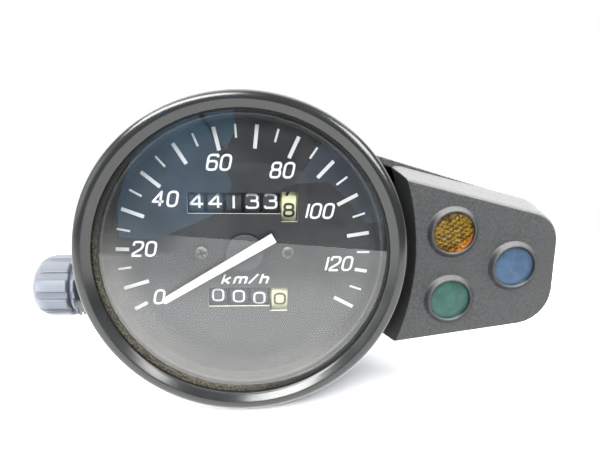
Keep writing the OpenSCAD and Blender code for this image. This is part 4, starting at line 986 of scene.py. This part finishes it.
def table_finish():
    f = Finish("table_white", roughness=0.6, base_color=(0.86, 0.86, 0.87))
    x, y, _ = f.place()
    far = ((x - 15) ** 2 + y ** 2) ** 0.5
    seen = f.add("ShaderNodeLightPath", out="Is Camera Ray")
    soft = f.add("ShaderNodeLightPath", out="Is Diffuse Ray")
    sheen = f.add("ShaderNodeLightPath", out="Is Glossy Ray")
    grey = f.add("ShaderNodeBsdfDiffuse", {}, {"Color": (0.3, 0.3, 0.3)}, out="BSDF")
    # Near the front edge the mirrored table is painted darker, a painted shadow, most of all at its left end
    mirrored_shadow = (0 - y).step(118, 165) * (1 - x.step(30, 90)) * 0.45
    mirrored_shadow = mirrored_shadow.higher((0 - y).step(172, 198) * (1 - x.step(-66, -20)))
    pale = f.mix(mirrored_shadow, f.shine((0.98, 1, 1), 4.0), f.shine((0, 0, 0)))
    lit = f.mix(sheen * 0.85, f.mix(soft, f.own_skin(), grey), pale)
    return f.surface(f.mix(seen * far.step(110, 260), lit, f.shine((1, 1, 1))))


FLOOR, FRONT_EDGE = -0.0402, -0.24
table_top = [(-4, FRONT_EDGE, FLOOR), (4, FRONT_EDGE, FLOOR), (4, 6, FLOOR), (-4, 6, FLOOR)]
flat("table", table_top, table_finish())

# %% [markdown]
# ## What the glass mirrors
# The camera looks down on the glass, so the glass mirrors the table in its lower half and, above
# the table's near edge, a dark room. A dark card stands at that edge. Only mirrored rays see it,
# so it takes no light from the object. A photograph of a room would do the same, but a few plain
# shapes can be moved until each reflection stands in its place.

# %% Dark card
def glowing(name, tone, spread=0.3):
    """A surface that only shines, with cloudy shades of one tone."""
    f = Finish(name)
    cloud = f.grain(45, 3, 0.55).step(0.3, 0.7)
    shade = f.blend(tuple(c * (1 - spread) for c in tone), tuple(c * (1 + spread) for c in tone), cloud)
    return f.surface(f.shine(shade))


def mirrored_only(name, corners, tone, spread=0.3):
    """A flat shape of one tone that nothing sees but a reflection."""
    obj = flat(name, corners, glowing(f"{name}_tone", tone, spread))
    obj.visible_camera = obj.visible_diffuse = obj.visible_transmission = obj.visible_shadow = False
    print(name, "tone", tone)


def upright(left, right, foot, top, lean=0.0):
    """Corners of a standing wall between two places on the floor."""
    (ax, ay), (bx, by) = left, right
    return [(ax, ay, foot), (bx, by, foot), (bx, by - lean, top), (ax, ay - lean, top)]


card = upright((-0.25, -0.285), (0.5, -0.076), FLOOR, 0.044, 0.004)
mirrored_only("dark_card", card, (0.12, 0.12, 0.13), 0.6)

# %% [markdown]
# The dark room isn't even: it has soft blue and grey parts, so a few patches stand in front of the
# card. Each outline is given where it should appear on the glass, and is carried on along the
# mirrored line of sight to the card.

# %% Patches on the card
CARD_LINE = Vector((-900, -466, 0)), Vector((500, -76, 0))


def mirrored(x, y, lift):
    """The point lift mm before the card that is seen mirrored at x, y on the glass, in metres."""
    eye = Vector((EYE[0], -EYE[1] - 2 * GLASS_TOP, EYE[2]))
    ray = Vector((x, -GLASS_TOP, y)) - eye
    along = (CARD_LINE[1] - CARD_LINE[0]).normalized()
    out = Vector((-along.y, along.x, 0))
    far = ((CARD_LINE[0] - eye).dot(out) + lift) / ray.dot(out)
    return tuple((eye + ray * far) * MM)


PATCHES = {
    "blue_left": ((0.42, 0.86, 1.3), [
        (-28.8, 5.2), (-28.8, 13), (-24.8, 24), (-17, 32.6), (-10.6, 34.2), (-7.8, 30.5), (-5.8, 25.7),
        (-4.2, 22.3), (-2.7, 17.7), (-5.1, 11.4), (-12.5, 8.2), (-17, 6.2), (-22, 4.8)]),
    "blue_top": ((0.32, 0.76, 1.15), [(-9.4, 34.8), (-2.2, 35.2), (-1.6, 30.6), (-3.9, 25.7), (-6.3, 28.8)]),
    "blue_right": ((0.34, 0.5, 0.72), [
        (17.9, 27.8), (25.7, 24.4), (31, 15.4), (34.4, 9.1), (28.8, 8.8), (23.7, 15.1), (19.6, 18.6),
        (11.9, 18.1)]),
    "grey_middle": ((0.32, 0.34, 0.36), [
        (-4.2, 22.3), (4.2, 23), (13.7, 20.9), (12.1, 18.1), (4.2, 15.2), (-5.1, 11.4)]),
}
for count, (name, (tone, outline)) in enumerate(PATCHES.items()):
    mirrored_only(name, [mirrored(x, y, 45 - count) for x, y in outline], tone)

# %% [markdown]
# ## Side walls
# A black ring with a gloss shows hardly any colour of its own. What draws its round edge is the
# bright line that it mirrors from each side, so two pale walls stand beside the camera. Lamps
# there would brighten the whole object, and walls seen only in reflections don't.

# %% Side walls for the rolled ring
PALE = (3.4, 3.5, 3.4)
mirrored_only("grey_left", upright((-0.72, -0.84), (-0.97, -0.5), FLOOR, 0.26), PALE)
mirrored_only("grey_right", upright((0.7, -0.86), (0.97, -0.5), FLOOR, 0.16), PALE)

# %% [markdown]
# ## Lamps and room
# One large lamp overhead stands for the sky or a white ceiling and gives the soft shadow under
# the object. Three weaker ones stand for windows and a wall. The world is white only where the
# camera looks straight at it. The object sees a room that is dark in front and bright behind, so
# that edges turned away from the camera end in light.

# %% Lamps
AIM = (0.0, -0.05, 0.0)
DAYLIGHT = (0.97, 0.985, 1.0)


def lamp(name, place, aim, size, watts, tint=(1, 1, 1)):
    data = bpy.data.lights.new(name, "AREA")
    data.shape, data.size, data.size_y = "RECTANGLE", size[0], size[1]
    data.energy, data.color = watts, tint
    obj = bpy.data.objects.new(name, data)
    obj.location = place
    obj.rotation_mode = "QUATERNION"
    obj.rotation_quaternion = (Vector(aim) - Vector(place)).to_track_quat("-Z", "Y")
    bpy.context.scene.collection.objects.link(obj)
    return obj


lamp("skylight", (0.05, -0.12, 0.8), (0.05, -0.12, 0.0), (1.7, 1.12), 26)
lamp("window_left", (-0.41, -0.82, 0.58), AIM, (0.74, 0.24), 17.5, DAYLIGHT)
# The right window only draws highlights
lamp("window_right", (0.58, -0.8, 0.34), AIM, (0.34, 0.32), 8, DAYLIGHT).visible_diffuse = False
lamp("left_wall", (-0.95, -0.5, 0.16), AIM, (0.7, 0.5), 2)
print("lamps", len(bpy.data.lights))


# %% World
def world():
    """White for the camera; for the object dark in front, grey at the sides and bright behind."""
    room = bpy.data.worlds.new("room")
    bpy.context.scene.world = room
    g = Graph(room)
    ray = g.add("ShaderNodeTexCoord", out="Generated")
    back = g.add("ShaderNodeMapRange", {}, {0: g.add("ShaderNodeSeparateXYZ", {}, {0: ray}, out="Y"), 1: -1})
    levels = ((0.06, 0.03), (0.2, 0.18), (0.5, 0.25), (0.62, 1.0), (0.8, 1.0), (1.0, 0.4))
    stops = [(place, (0.95 * level, 0.98 * level, level)) for place, level in levels]
    tone = g.add("ShaderNodeValToRGB", {"stops": stops}, {0: back})
    dark = g.add("ShaderNodeBackground", {}, {"Color": tone, "Strength": 3})
    white = g.add("ShaderNodeBackground", {}, {"Color": (1, 1, 1), "Strength": 1})
    seen = g.add("ShaderNodeLightPath", out="Is Camera Ray")
    g.links.new(g.mix(seen, dark, white).socket, g.nodes["World Output"].inputs["Surface"])
    print("world", len(g.nodes), "nodes")


world()
bpy.context.scene.view_settings.view_transform = "Standard"
